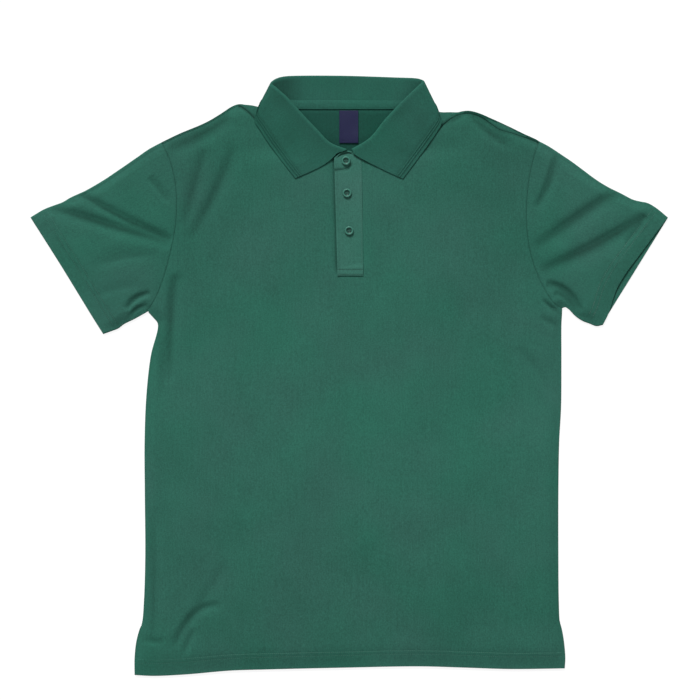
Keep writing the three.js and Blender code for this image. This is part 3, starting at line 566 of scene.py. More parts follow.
def knit(name, base, wale, course, grain=1.0, depth=0.00022):
    """Knitted cloth: small V stitches in rows with painted shade and light on them, slight random tone changes over the
    cloth, darker towards the bottom, painted shade on the upper sides of the chest and in the creases, and a soft
    surface.
    """
    n = Nodes(name)
    uv = n.add("UVMap", uv_map="cut").outputs[0]
    split = n.add("SeparateXYZ")
    n.put(uv, split.inputs[0])
    across = n.math("MULTIPLY", split.outputs[0], 1 / (wale * MM))
    leg = n.math("ABSOLUTE", n.math("SUBTRACT", n.math("FRACT", across), 0.5))
    up = n.math("ADD", n.math("MULTIPLY", split.outputs[1], 1 / (course * MM)), n.math("MULTIPLY", leg, 1.4))
    row = n.math("SINE", n.math("MULTIPLY", up, math.tau))
    valley = n.math("POWER", n.math("MULTIPLY", leg, 2.0), 3.0)
    height = n.math("SUBTRACT", n.math("MULTIPLY", row, 0.35), valley)

    place = n.add("TexCoord").outputs["Object"]
    broad = n.noise(place, 5.5, 3.0)
    patch = n.noise(place, 38.0, 2.0)
    fine = n.noise(place, 560.0, 2.0, 0.6)
    streak = n.noise(n.scaled(uv, (900.0, 210.0, 1.0)), 1.0, 1.0)
    tone = n.math("ADD", n.spread(broad, 0.3, 0.7, -0.045, 0.045), n.spread(patch, 0.3, 0.7, -0.03, 0.03))
    tone = n.math("ADD", tone, n.spread(fine, 0.25, 0.75, -0.17 * grain, 0.17 * grain))
    tone = n.math("ADD", tone, n.spread(streak, 0.25, 0.75, -0.08 * grain, 0.08 * grain))
    ribs = n.noise(n.scaled(uv, (430.0, 24.0, 1.0)), 1.0, 1.0)
    tone = n.math("ADD", tone, n.spread(ribs, 0.3, 0.7, -0.035 * grain, 0.035 * grain))
    # Painted shade and light in the stitches: the colour follows their bumps, darker in the hollows and lighter on the
    # crests.
    tone = n.math("ADD", tone, n.math("MULTIPLY", height, 0.06))
    # Darker towards the bottom; and painted shade on the upper sides of the chest, standing in for shade from the
    # cloth's shape.
    low_down = n.add("SeparateXYZ")
    n.put(place, low_down.inputs[0])
    tone = n.math("SUBTRACT", tone, n.spread(low_down.outputs[1], -0.08, -0.32, 0.0, 0.1))
    sideways = n.math("ABSOLUTE", low_down.outputs[0])
    upper = n.math("MULTIPLY", n.spread(sideways, 0.07, 0.2, 0.0, 0.1), n.spread(low_down.outputs[1], 0.02, 0.14, 0.0, 1.0))
    tone = n.math("SUBTRACT", tone, n.math("MULTIPLY", upper, n.spread(sideways, 0.2, 0.27, 1.0, 0.3)))
    # Painted shade: the crease attribute darkens the colour in creases, along pressed lines and seams, and in other
    # places where shade falls.
    crease = n.add("Attribute", attribute_name="crease").outputs["Fac"]
    level = n.math("MULTIPLY", n.math("ADD", tone, 1.0), n.math("SUBTRACT", 1.0, n.math("MULTIPLY", crease, 0.42)))
    warm = n.noise(place, 9.0, 2.0)
    cool = (base[0] * 1.1, base[1] * 0.985, base[2] * 1.02, 1)
    green = (base[0] * 0.86, base[1] * 1.02, base[2] * 0.98, 1)
    shade = n.add("VectorMath", operation="SCALE")
    n.put(n.blend(n.spread(warm, 0.35, 0.65, 0.0, 1.0), cool, green), shade.inputs[0])
    n.put(level, shade.inputs["Scale"])
    n.put(shade.outputs[0], n.shader.inputs["Base Color"])
    n.put(n.spread(fine, 0.2, 0.8, 0.82, 0.96), n.shader.inputs["Roughness"])
    fuzz = n.noise(place, 1500.0, 1.0)
    normal = n.bump(height, 0.6, depth)
    n.put(n.bump(fuzz, 0.25, 0.0002, normal), n.shader.inputs["Normal"])
    n.shader.inputs["Specular IOR Level"].default_value = 0.12
    n.shader.inputs["Sheen Weight"].default_value = 0.04
    n.shader.inputs["Sheen Roughness"].default_value = 0.45
    n.shader.inputs["Sheen Tint"].default_value = colour(120, 215, 180)
    return n.material


GREEN = (0.0226, 0.1035, 0.0755)
green_knit = knit("green_knit", GREEN, 0.85, 0.75)
# A darker copy of the knit: painted shade for the back's inside that shows through the neck opening.
painted_shade_inside_knit = knit("green_knit_inside_painted_shade", (0.0078, 0.0550, 0.0395), 0.85, 0.75)
tape_knit = knit("green_knit_tape", (0.0170, 0.0910, 0.0660), 0.85, 0.75)
collar_knit = knit("green_collar_knit", (0.0172, 0.0930, 0.0672), 1.3, 0.8, 0.9, 0.00035)
placket_knit = knit("green_placket_knit", (0.0325, 0.1180, 0.0900), 0.85, 0.75)


def thread_material():
    n = Nodes("green_thread")
    place = n.add("TexCoord").outputs["Object"]
    twist = n.noise(place, 2200.0, 1.0)
    tone = n.blend(n.spread(twist, 0.3, 0.7, 0.0, 1.0), (0.020, 0.090, 0.066, 1), (0.030, 0.125, 0.094, 1))
    n.put(tone, n.shader.inputs["Base Color"])
    n.put(n.spread(twist, 0.3, 0.7, 0.42, 0.62), n.shader.inputs["Roughness"])
    n.put(n.bump(twist, 0.4, 0.0001), n.shader.inputs["Normal"])
    n.shader.inputs["Sheen Weight"].default_value = 0.15
    return n.material


def button_material():
    n = Nodes("green_button")
    place = n.add("TexCoord").outputs["Object"]
    cloud = n.noise(place, 260.0, 3.0)
    scuff = n.noise(place, 1900.0, 2.0)
    tone = n.blend(n.spread(cloud, 0.3, 0.7, 0.0, 1.0), (0.030, 0.122, 0.091, 1), (0.039, 0.150, 0.114, 1))
    # Painted shade: the colour darkens towards the button's middle, in its dish.
    radius = n.add("VectorMath", operation="LENGTH")
    n.put(n.scaled(place, (1.0, 1.0, 0.0)), radius.inputs[0])
    dish = n.spread(radius.outputs["Value"], 0.0029, 0.0037, 0.42, 1.0)
    shaded = n.add("VectorMath", operation="SCALE")
    n.put(tone, shaded.inputs[0])
    n.put(dish, shaded.inputs["Scale"])
    tone = shaded.outputs[0]
    n.put(tone, n.shader.inputs["Base Color"])
    n.put(n.spread(scuff, 0.3, 0.7, 0.34, 0.48), n.shader.inputs["Roughness"])
    n.put(n.bump(scuff, 0.08, 0.00005), n.shader.inputs["Normal"])
    n.shader.inputs["Specular IOR Level"].default_value = 0.2
    n.shader.inputs["Coat Weight"].default_value = 0.03
    n.shader.inputs["Coat Roughness"].default_value = 0.2
    return n.material


def label_material():
    n = Nodes("navy_label")
    uv = n.add("UVMap", uv_map="cut").outputs[0]
    split = n.add("SeparateXYZ")
    n.put(uv, split.inputs[0])
    warp = n.math("SINE", n.math("MULTIPLY", split.outputs[0], math.tau / 0.00032))
    weft = n.math("SINE", n.math("MULTIPLY", split.outputs[1], math.tau / 0.00045))
    weave = n.math("MULTIPLY", warp, weft)
    fine = n.noise(n.add("TexCoord").outputs["Object"], 900.0, 2.0)
    level = n.math("ADD", n.math("MULTIPLY", weave, 0.08), n.spread(fine, 0.3, 0.7, -0.12, 0.12))
    factor = n.spread(level, -0.2, 0.2, 0.0, 1.0)
    tone = n.blend(factor, (0.0065, 0.0075, 0.034, 1), (0.0105, 0.0120, 0.050, 1))
    n.put(tone, n.shader.inputs["Base Color"])
    n.put(n.spread(fine, 0.3, 0.7, 0.45, 0.6), n.shader.inputs["Roughness"])
    n.put(n.bump(weave, 0.35, 0.00012), n.shader.inputs["Normal"])
    n.shader.inputs["Specular IOR Level"].default_value = 0.15
    n.shader.inputs["Sheen Weight"].default_value = 0.03
    return n.material


thread = thread_material()
button_green = button_material()
navy = label_material()


# The body's panels.
VENT_TOP = 0.135
SIDE_LENGTH = 466
END_STEP = 0.0008  # share of the side's length between the last row of an open edge and the first of a seam
NEEDLES = (16.0, 20.6)  # the hem's two rows of stitches, from the edge
NECK_START = 0.27
NECK_END = 0.72


def hem_shares():
    """Shares of the side's length: close rows along the hem's stitches, then even ones."""
    near = [0, 0.8, 3, 7, 11]
    for needle in NEEDLES:
        near += [needle - 1.2, needle - 0.5, needle, needle + 0.5, needle + 1.2]
    near = np.array(near + [24, 27, 30]) / SIDE_LENGTH
    ends = [VENT_TOP - END_STEP, VENT_TOP, 1 - END_STEP]
    return np.unique(np.concatenate([near, np.linspace(near[-1], 1, 134), ends]))


def body_rows(top, side_shares, arm_count):
    sides = {hand: SIDE[hand].at(side_shares) for hand in HANDS}
    arms = {hand: ARMHOLE[hand].at(np.linspace(0, 1, arm_count + 1)[1:]) for hand in HANDS}
    rows = {hand: np.vstack([sides[hand], arms[hand]]) for hand in HANDS}
    rows["left"][-1] = top(np.array(0.0))
    rows["right"][-1] = top(np.array(1.0))
    none = np.full((arm_count, 2), np.nan)
    rows["left_out"] = np.vstack([-right_of(SIDE["left"].at, side_shares), none])
    rows["right_out"] = np.vstack([right_of(SIDE["right"].at, side_shares), none])
    share = np.concatenate([side_shares, 1 + np.linspace(0, 1, arm_count + 1)[1:]])
    rows["share"] = share
    rows["pressed"] = (share >= VENT_TOP) & (share < 1)
    rows["edge"] = share < 1
    height = (rows["left"][:, 1] + rows["right"][:, 1]) / 2
    rows["up"] = (height - height[0]) / (height[-1] - height[0])
    return rows


def body_points(rows, top, u):
    """Points of a panel blended from its four edges, for shares u across each row."""
    u = u[:, :, None]

    def between(a, b):
        return a * (1 - u) + b * u

    up = rows["up"][:, None, None]
    flat = u[:, :, 0]
    bottom_bow = HEM_CURVE.at(flat) - between(rows["left"][0], rows["right"][0])
    top_bow = top(flat) - between(top(np.array(0.0)), top(np.array(1.0)))
    along = between(rows["left"][:, None], rows["right"][:, None])
    return along + (1 - up) ** 3 * bottom_bow + up**4 * top_bow


def inset_shares(rows, u, inset):
    width = np.linalg.norm(rows["right"] - rows["left"], axis=1)
    left = np.where(rows["edge"], inset / (width * np.abs(rows["left_out"][:, 0])), 0)
    right = np.where(rows["edge"], inset / (width * np.abs(rows["right_out"][:, 0])), 0)
    return np.clip(u, left[:, None], 1 - right[:, None])


def front_top(u):
    u = np.asarray(u, float)[..., None]
    left = SHOULDER_SEAM["left"].row(u[..., 0] / NECK_START)
    right = SHOULDER_SEAM["right"].row((1 - u[..., 0]) / (1 - NECK_END))
    neck = NECK_CURVE.at((u[..., 0] - NECK_START) / (NECK_END - NECK_START))
    return np.where(u < NECK_START, left, np.where(u > NECK_END, right, neck))


def back_top(u):
    u = np.asarray(u, float)
    left = FOLD["left"].row(u / NECK_START)
    right = FOLD["right"].row((1 - u) / (1 - NECK_END))
    ends = FOLD["left"].points[-1], FOLD["right"].points[-1]
    x = mix(ends[0][0], ends[1][0], (u - NECK_START) / (NECK_END - NECK_START))
    end_y = np.where(x < 0, ends[0][1], ends[1][1])
    neck = np.stack([x, mix(BACK_NECK_Y, end_y, smooth((np.abs(x) - 92) / 14))], -1)
    u = u[..., None]
    return np.where(u < NECK_START, left, np.where(u > NECK_END, right, neck))


# Placket.
PLACKET = {"top_left": -19.4, "top_right": 16.2, "bottom_left": -15, "bottom_right": 18.2, "bottom_y": 127.6}
PLACKET_TOP = Curve([-19.4, -13, -5, 4, 16.2], [278.6, 284.6, 287.4, 286.6, 279.2])
SLOT_BOTTOM_Y = 133
SLOT_LAP = 2
PLACKET_TOP_Y = 278.6


def placket_edge(y, share):
    down = (PLACKET_TOP_Y - y) / (PLACKET_TOP_Y - PLACKET["bottom_y"])
    left = mix(PLACKET["top_left"], PLACKET["bottom_left"], down)
    return mix(left, mix(PLACKET["top_right"], PLACKET["bottom_right"], down), share)


def edge_spaced(count, near=(0, 0.0016, 0.004, 0.008)):
    """Shares from 0 to 1, closer together at the start."""
    near = np.array(near)
    return np.concatenate([near, np.linspace(near[-1], 1, count)[1:]])


CURL_ANGLES = (30, 60, 90, 120, 150, 180)


def make_front():
    rows = body_rows(front_top, hem_shares(), 66)
    count = len(rows["up"])
    probe = np.broadcast_to(np.linspace(0, 1, 300), (count, 300))
    spots = body_points(rows, front_top, probe)
    edges = []
    for share, lap in ((0, SLOT_LAP), (1, 0)):
        y = np.maximum(spots[:, :, 1], SLOT_BOTTOM_Y)
        off = spots[:, :, 0] - placket_edge(y, share) - lap
        edges.append(np.array([np.interp(0, off[i], probe[i]) for i in range(count)]))
    slot_left, slot_right = edges[0][:, None], edges[1][:, None]
    outer = edge_spaced(74)
    left = outer * slot_left
    middle = mix(slot_left, slot_right, np.linspace(0, 1, 12)[1:-1])
    right = 1 - (outer * (1 - slot_right))[:, ::-1]
    u = np.hstack([left, middle, right])
    u = inset_shares(rows, u, np.where(rows["pressed"], EDGE_RADIUS + CLOTH / 2, 0))
    xy = body_points(rows, front_top, u)
    z = front_z(xy[..., 0], xy[..., 1])
    z -= 0.6 * needle_dip(far_from(HEM_NEEDLES, xy[..., 0], xy[..., 1]))
    beside = (placket_edge(xy[..., 1], 0) - 1 - xy[..., 0]) / 2.2
    z -= 1.3 * np.exp(-(beside**2)) * smooth((xy[..., 1] - PLACKET["bottom_y"] - 2) / 12)
    flat = np.dstack([xy, z])
    in_slot = np.zeros(flat.shape[:2], bool)
    in_slot[:, len(outer):len(outer) + middle.shape[1]] = True
    flat[in_slot & (xy[..., 1] > SLOT_BOTTOM_Y)] = np.nan
    blocks = [flat]
    for hand, end in (("left", flat[:, 0]), ("right", flat[:, -1])):
        curl = []
        for angle in CURL_ANGLES:
            turn = math.radians(angle)
            point = np.full_like(end, np.nan)
            on = rows["pressed"]
            point[on, :2] = end[on, :2] + rows[hand + "_out"][on] * EDGE_RADIUS * math.sin(turn)
            point[on, 2] = mix(CLOTH / 2, end[on, 2], (1 + math.cos(turn)) / 2)
            curl.append(point[:, None])
        blocks = curl[::-1] + blocks if hand == "left" else blocks + curl
    grid = np.hstack(blocks)
    thick = np.where(rows["share"] * SIDE_LENGTH <= NEEDLES[1], HEM, CLOTH)[:, None]
    uv = grid[..., :2].copy()
    x, y = grid[..., 0], grid[..., 1]
    # Painted shadow: a dark line beside the placket's left edge, where the raised strip casts shade on the front; the
    # rest of the crease value is painted shade.
    beside = (placket_edge(y, 0) - 0.9 - x) / 1.7
    line = np.exp(-(beside**2)) * smooth((y - PLACKET["bottom_y"]) / 10)
    crease = np.where(np.isnan(x), 0, painted_crease_shade(x, y) + line)
    return wall("polo_front", grid, thick, green_knit, uv, crease=np.clip(crease, 0, 1))


def needle_dip(distance):
    """The little trench that a row of stitches pulls into knit."""
    return 0.14 * np.exp(-((distance / 0.7) ** 2))


def parallel(path, offset):
    """A path moved to its left by a distance."""
    way = np.gradient(path, axis=0)
    way /= np.linalg.norm(way, axis=1, keepdims=True)
    return path + offset * np.column_stack([-way[:, 1], way[:, 0]])


HEM_PATH = sampled(HEM_CURVE.at, 60)
HEM_NEEDLES = [parallel(HEM_PATH, needle) for needle in NEEDLES]


def make_back():
    ends = [VENT_TOP - END_STEP, 1 - END_STEP]
    shares = np.unique(np.concatenate([[0, 0.01, 0.03, 0.045, 0.07, 0.1], ends, np.linspace(VENT_TOP, 1, 44)]))
    rows = body_rows(back_top, shares, 40)
    left = edge_spaced(46, (0, 0.004, 0.012)) * NECK_START
    across = np.concatenate([left, np.linspace(NECK_START, NECK_END, 42)[1:-1],
                             1 - (edge_spaced(50, (0, 0.004, 0.012)) * (1 - NECK_END))[::-1]])
    u = np.broadcast_to(across, (len(rows["up"]), len(across)))
    u = inset_shares(rows, u, np.where(rows["pressed"], EDGE_RADIUS + CLOTH / 2 + GAP, 0))
    xy = body_points(rows, back_top, u)
    inward = np.where((across <= NECK_START)[:, None], right_of(FOLD["left"].row, across / NECK_START),
                      -right_of(FOLD["right"].row, (1 - across) / (1 - NECK_END)))
    on_shoulder = (across <= NECK_START) | (across >= NECK_END)
    xy[-1, on_shoulder] += inward[on_shoulder] * (EDGE_RADIUS + CLOTH / 2)
    z = np.where((rows["share"] <= NEEDLES[1] / SIDE_LENGTH)[:, None], HEM / 2, back_z(xy[..., 0], xy[..., 1]))
    grid = list(np.dstack([xy, z]))
    last = grid[-1]
    top = front_z(last[:, 0], last[:, 1])
    for angle in (20, 45, 70, 90, 110, 135, 160, 180):
        turn = math.radians(angle)
        bent = last.copy()
        bent[:, :2] -= inward * EDGE_RADIUS * math.sin(turn)
        bent[:, 2] = mix(last[:, 2], top, (1 - math.cos(turn)) / 2)
        bent[~on_shoulder] = np.nan
        grid.append(bent)
    folded = grid[-1]
    ends = front_top(across) - inward * 2 * SEAM
    for share in (0.2, 0.4, 0.6, 0.8, 0.92, 1):
        flap = folded.copy()
        flap[:, :2] = mix(folded[:, :2], ends, share)
        flap[:, 2] = front_z(flap[:, 0], flap[:, 1]) + 0.25 * share
        flap[~on_shoulder] = np.nan
        grid.append(flap)
    grid = np.array(grid)
    thick = np.full(len(grid), CLOTH)
    thick[:len(rows["share"])][rows["share"] <= NEEDLES[1] / SIDE_LENGTH] = HEM
    uv = grid[..., :2].copy()
    uv[len(rows["up"]):, :, 1] += 3 * np.arange(len(grid) - len(rows["up"]))[:, None]
    # Painted shade on the folded-over shoulder flaps: the crease shade plus a little more all over.
    on_flap = np.zeros(grid.shape[:2], bool)
    on_flap[len(rows["up"]) + 4:] = True
    shade = np.where(on_flap & ~np.isnan(grid[..., 0]), painted_crease_shade(grid[..., 0], grid[..., 1]) + 0.12, 0)
    made = wall("polo_back", grid, thick[:, None], green_knit, uv, crease=np.clip(shade, 0, 1))
    # The back's inside, seen between the collar's leaves, takes the darker knit: painted shade.
    made.data.materials.append(painted_shade_inside_knit)
    for face in made.data.polygons:
        if face.normal.z > 0.5 and face.center.z < (CLOTH + NECK_LIFT + 0.4) * MM:
            face.material_index = 1
    return made


# Sleeves.
CUFF_NEEDLES = (16.6, 22.4)


def sleeve_layer(hand, cuff):
    edges = SLEEVE[hand]
    out = -1 if hand == "left" else 1
    upper_ends, lower_ends = edges["upper"].points, edges["lower"].points

    def place(s, t):
        seam = 2 * SEAM - 0.3 * (np.exp(-40 * t) + np.exp(-40 * (1 - t)))
        joint = ARMHOLE[hand].at(1 - t) + right_of(ARMHOLE[hand].at, 1 - t) * out * seam[..., None]
        end = edges[cuff].at(t)
        s, t = s[..., None], t[..., None]
        upper = edges["upper"].at(s[..., 0]) - mix(upper_ends[0], upper_ends[-1], s)
        lower = edges["lower"].at(s[..., 0]) - mix(lower_ends[0], lower_ends[-1], s)
        return mix(joint, end, s) + upper * (1 - t) ** 2 + lower * t**2

    return place


def make_sleeve(name, hand):
    front, back = sleeve_layer(hand, "front_cuff"), sleeve_layer(hand, "back_cuff")
    length = SLEEVE[hand]["upper"].length
    near = np.array([0, 0.8, 3, 7, 11])
    for needle in CUFF_NEEDLES:
        near = np.append(near, needle + np.array([-1.2, -0.5, 0, 0.5, 1.2]))
    near = np.append(near, [26, 29]) / 165
    stations = np.concatenate([edge_spaced(86, (0, 0.005, 0.013, 0.026)) * (1 - near[-1]), 1 - near[::-1][1:]])
    s = stations[:, None]
    size = np.linalg.norm(front(s, np.zeros_like(s)) - front(s, np.ones_like(s)), axis=2)
    inset = (EDGE_RADIUS + CLOTH / 2) / size

    def layer(place, shares, z=None):
        t = np.clip(shares[None, :], inset, 1 - inset)
        xy = place(np.broadcast_to(s, t.shape), t)
        high = front_z(xy[..., 0], xy[..., 1]) if z is None else np.full(t.shape, z)
        return np.dstack([xy, high]), t

    top, _ = layer(front, edge_spaced(112, (0, 0.02)))
    low, low_t = layer(back, np.linspace(1, 0, 24), CLOTH / 2)
    if hand == "right":
        low[..., 2] += 0.8 * smooth((s - 0.86) / 0.14) * np.sin(np.pi * low_t)
    cuff_path = sampled(SLEEVE[hand]["front_cuff"].at, 40)
    side = 1 if hand == "left" else -1
    needles = [parallel(cuff_path, side * needle) for needle in CUFF_NEEDLES]
    from_needle = far_from(needles, top[..., 0], top[..., 1])
    top[..., 2] -= needle_dip(from_needle)

    def level(a, b):
        way = front(s, np.full_like(s, a)) - front(s, np.full_like(s, b))
        return (way / np.linalg.norm(way, axis=2, keepdims=True))[:, 0]

    def bend(start, end, outward):
        ring = []
        for angle in (25, 50, 75, 90, 105, 130, 155):
            turn = math.radians(angle)
            point = mix(start, end, (1 - math.cos(turn)) / 2)
            point[:, :2] += outward * EDGE_RADIUS * math.sin(turn)
            ring.append(point[:, None])
        return np.hstack(ring)

    low_bend = bend(top[:, -1], low[:, 0], level(1, 0.97))
    high_bend = bend(low[:, -1], top[:, 0], level(0, 0.03))
    half = low.shape[1] // 2
    grid = np.hstack([low[:, half:], high_bend, top, low_bend, low[:, :half]])
    on_top = np.zeros(grid.shape[:2], bool)
    first = low.shape[1] - half + high_bend.shape[1]
    on_top[:, first:first + top.shape[1]] = True
    steps = np.linalg.norm(np.diff(grid, axis=1), axis=2).mean(0)
    round_ = np.concatenate([[0], np.cumsum(steps)])
    uv = np.dstack([np.broadcast_to(round_, grid.shape[:2]), np.broadcast_to(s * length, grid.shape[:2])])
    cuff = (1 - s) * 165 <= CUFF_NEEDLES[1]
    thick = np.where(cuff & on_top, CUFF, CLOTH)
    # Painted shade on the top layer: in its creases and pressed lines, and along the cuff's stitch rows in their
    # trenches.
    crease = np.where(on_top, painted_crease_shade(grid[..., 0], grid[..., 1]), 0)
    crease[:, first:first + top.shape[1]] += 0.4 * np.exp(-((from_needle / 0.9) ** 2))
    crease = np.clip(crease, 0, 1)
    if hand == "right":
        grid, uv, thick, crease = (a[:, ::-1] for a in (grid, uv, thick, crease))
    return wall(name, grid, thick, green_knit, uv, ring=True, crease=crease), needles


# Collar: a row for each section from the wearer's right front round the back to the left front.
COLLAR_SECTIONS = table(
    ["turn", "neck_x", "neck_y", "rim_x", "rim_y", "rim_z", "edge_x", "edge_y", "edge_z", "roll"],
    [
        [0, -21, 283, -2.5, 289.2, 8.0, -69, 252, 6.2, 2.2],
        [0, -38, 286.8, -24, 298, 7.6, -80, 266, 6.2, 2.6],
        [0, -60, 300.8, -40, 314, 7.6, -92, 281.5, 6.2, 2.8],
        [0, -80, 317, -60, 335, 7.4, -104.2, 298.5, 6.2, 2.8],
        [8, -94, 329.5, -78.5, 355.5, 7, -114.5, 314.5, 6.4, 2.8],
        [40, -102.5, 336.5, -92.5, 368, 6.2, -120.3, 323.2, 6.8, 2.6],
        [90, -105.5, 341.6, -99, 373.8, 4.6, -120.6, 331.5, 7, 2.4],
        [130, -102.5, 342.2, -97, 378, 3.2, -114, 347.6, 5.2, 2.4],
        [165, -96, 341.6, -91, 381.4, 2.3, -104, 350, 1.6, 2.6],
        [180, -86, 341, -81, 383.6, 1.9, -91, 337, 0.65, 2.5],
        [180, -66, 340.9, -62, 384.3, 1.9, -70, 322, 0.65, 2.5],
        [180, -35, 340.9, -33, 384.4, 1.9, -36, 316, 0.65, 2.5],
        [180, 0, 340.9, 0, 384, 1.9, 0, 314, 0.65, 2.5],
        [180, 35, 340.9, 33, 383, 1.9, 36, 316, 0.65, 2.5],
        [180, 66, 340.9, 60, 382, 1.9, 70, 322, 0.65, 2.5],
        [180, 86, 341, 79, 381.4, 1.9, 91, 337, 0.65, 2.5],
        [165, 95, 341.2, 87, 380.6, 2.3, 103, 348, 1.6, 2.6],
        [130, 101, 341.4, 91.5, 379.2, 3.2, 111, 344, 5.2, 2.4],
        [90, 103.5, 339.5, 94, 377, 4.6, 117.2, 330.5, 7, 2.4],
        [40, 98, 333, 89, 371.5, 6.2, 118.2, 322, 6.8, 2.6],
        [8, 89, 324.4, 79.5, 362.6, 7, 112.8, 312, 6.4, 2.8],
        [0, 76, 314.4, 62, 345.4, 7.4, 103.4, 298.5, 6.2, 2.8],
        [0, 57, 299, 44.5, 326.5, 7.6, 92.2, 283, 6.2, 2.8],
        [0, 37, 286, 26, 304, 7.6, 80, 266.5, 6.2, 2.6],
        [0, 17.8, 283, 2.4, 289.4, 8.0, 68.5, 251.4, 6.2, 2.2],
    ],
)
# The collar's two front edges, from the rim to the point.
COLLAR_ENDS = {
    "left": [(-2.5, 289.2), (-5.7, 287.4), (-13.4, 285.2), (-19.5, 279), (-31, 270.1), (-50, 260.4), (-69, 252)],
    "right": [(2.4, 289.4), (3, 285.3), (12, 279.2), (23.5, 273), (45, 262), (68.5, 251.4)],
}
END_BAND = 0.035  # the share of the collar's length over which an end's shape fades out
ON_FRONT = 60
OVER_PLACKET = {"half_width": 26, "top_y": 292, "ramp": 6}
RIDGES = (5.4, 8.4)  # the two raised lines, from the collar's outer edge
GROOVES = (4.1, 6.9, 9.8)
STAND_COUNT = 9
# Soft darker and lighter places on the collar's two leaves, painted shade and painted light for the leaves'
# undulations: their places, reach and shade.
LEAF_SHADES = [(-76, 308, 13, 0.22), (-92, 330, 12, -0.12), (-52, 290, 11, -0.1), (-88, 352, 10, 0.14), (-96, 296, 10, 0.12),
               (54, 342, 12, 0.24), (84, 352, 11, -0.12), (36, 306, 13, -0.1), (92, 322, 11, 0.16), (70, 286, 12, 0.16)]
ROLL_ANGLES = np.linspace(0, 180, 11)


def under_collar(x, y):
    k = OVER_PLACKET
    on_placket = smooth((k["half_width"] - np.abs(x)) / k["ramp"]) * smooth((k["top_y"] - y) / k["ramp"])
    return front_z(x, y) + CLOTH / 2 + (CLOTH + GAP) * on_placket


def collar_rows(t):
    """Collar sections at shares t of its length, on smooth curves through the table's rows."""
    place = np.asarray(t, float) * (len(COLLAR_SECTIONS["turn"]) - 1)
    last = len(COLLAR_SECTIONS["turn"]) - 1
    i = np.clip(np.floor(place).astype(int), 0, last - 1)
    f = place - i
    rows = {}
    for name, column in COLLAR_SECTIONS.items():
        a, b, c, d = (column[np.clip(i + k, 0, last)] for k in (-1, 0, 1, 2))
        rows[name] = b + 0.5 * f * (c - a + f * (2 * a - 5 * b + 4 * c - d + f * (3 * (b - c) + d - a)))
    return rows


def collar_sections(t):
    """Stand, roll and fall of the collar's sections: arrays of points by section."""
    rows = collar_rows(t)
    turn = np.radians(rows["turn"])
    outward = np.where(rows["rim_x"] < 0, -1.0, 1.0)
    over = np.stack([outward * np.sin(turn), np.zeros_like(turn), np.cos(turn)], -1)
    behind = (1 - np.cos(turn)) / 2
    neck_z = mix(front_z(rows["neck_x"], rows["neck_y"]), back_z(rows["neck_x"], rows["neck_y"]), behind)
    neck = np.stack([rows["neck_x"], rows["neck_y"], neck_z], -1)
    rim = np.stack([rows["rim_x"], rows["rim_y"], rows["rim_z"]], -1)
    edge = np.stack([rows["edge_x"], rows["edge_y"], rows["edge_z"]], -1)
    half = (rows["roll"] / 2)[:, None]
    up = rim - (neck + edge) / 2
    up[:, 2] = 0
    up /= np.linalg.norm(up, axis=1, keepdims=True)
    centre = rim - up * (half + COLLAR / 2)
    roll = []
    for angle in np.radians(ROLL_ANGLES):
        roll.append(centre - over * half * math.cos(angle) + up * half * math.sin(angle))
    roll = np.stack(roll, 1)
    shares = np.linspace(0, 1, STAND_COUNT, endpoint=False)[None, :, None]
    stand = mix(neck[:, None], roll[:, :1], shares)
    start = roll[:, -1]
    length = np.linalg.norm(edge - start, axis=1)[:, None]
    from_edge = [0, 0.6, 1.4, 2.6, 3.8, 4.5, 4.9, 5.2, 5.4, 5.6, 5.9, 6.3, 6.9, 7.5, 7.9, 8.2, 8.4, 8.6, 8.9, 9.4, 10.4]
    near = 1 - np.array(from_edge)[None, ::-1] / length
    far = np.linspace(0, 1, 16)[None, 1:-1] * near[:, :1]
    shares = np.hstack([far, near])[..., None]
    fall = mix(start[:, None], edge[:, None], shares)
    for hand, from_end in (("left", t), ("right", 1 - np.asarray(t))):
        ends = np.array(COLLAR_ENDS[hand], float)
        bow = Curve(ends[:, 0], ends[:, 1]).at(shares[..., 0]) - mix(ends[0], ends[-1], shares)
        fall[..., :2] += bow * np.exp(-((np.asarray(from_end) / END_BAND) ** 2))[:, None, None]
    resting = under_collar(fall[..., 0], fall[..., 1]) + 0.15 + COLLAR / 2
    on_front = (rows["turn"] < ON_FRONT)[:, None]
    lifted = np.logaddexp(fall[..., 2] * 2.5, resting * 2.5) / 2.5
    x, y = fall[..., 0], fall[..., 1]
    ripple = 0.3 * np.sin(0.13 * x + 0.05 * y) + 0.3 * np.sin(0.06 * x - 0.14 * y + 1) + 0.2 * np.sin(0.21 * y)
    fall[..., 2] += np.where(on_front, ripple * np.sin(np.pi * shares[..., 0]) ** 2, 0)
    fall[..., 2] = np.where(on_front, np.maximum(resting, np.minimum(lifted, fall[..., 2] + 0.25)), fall[..., 2])
    from_rim = np.linalg.norm(edge[:, None] - fall, axis=2)
    return stand, roll, fall, from_rim


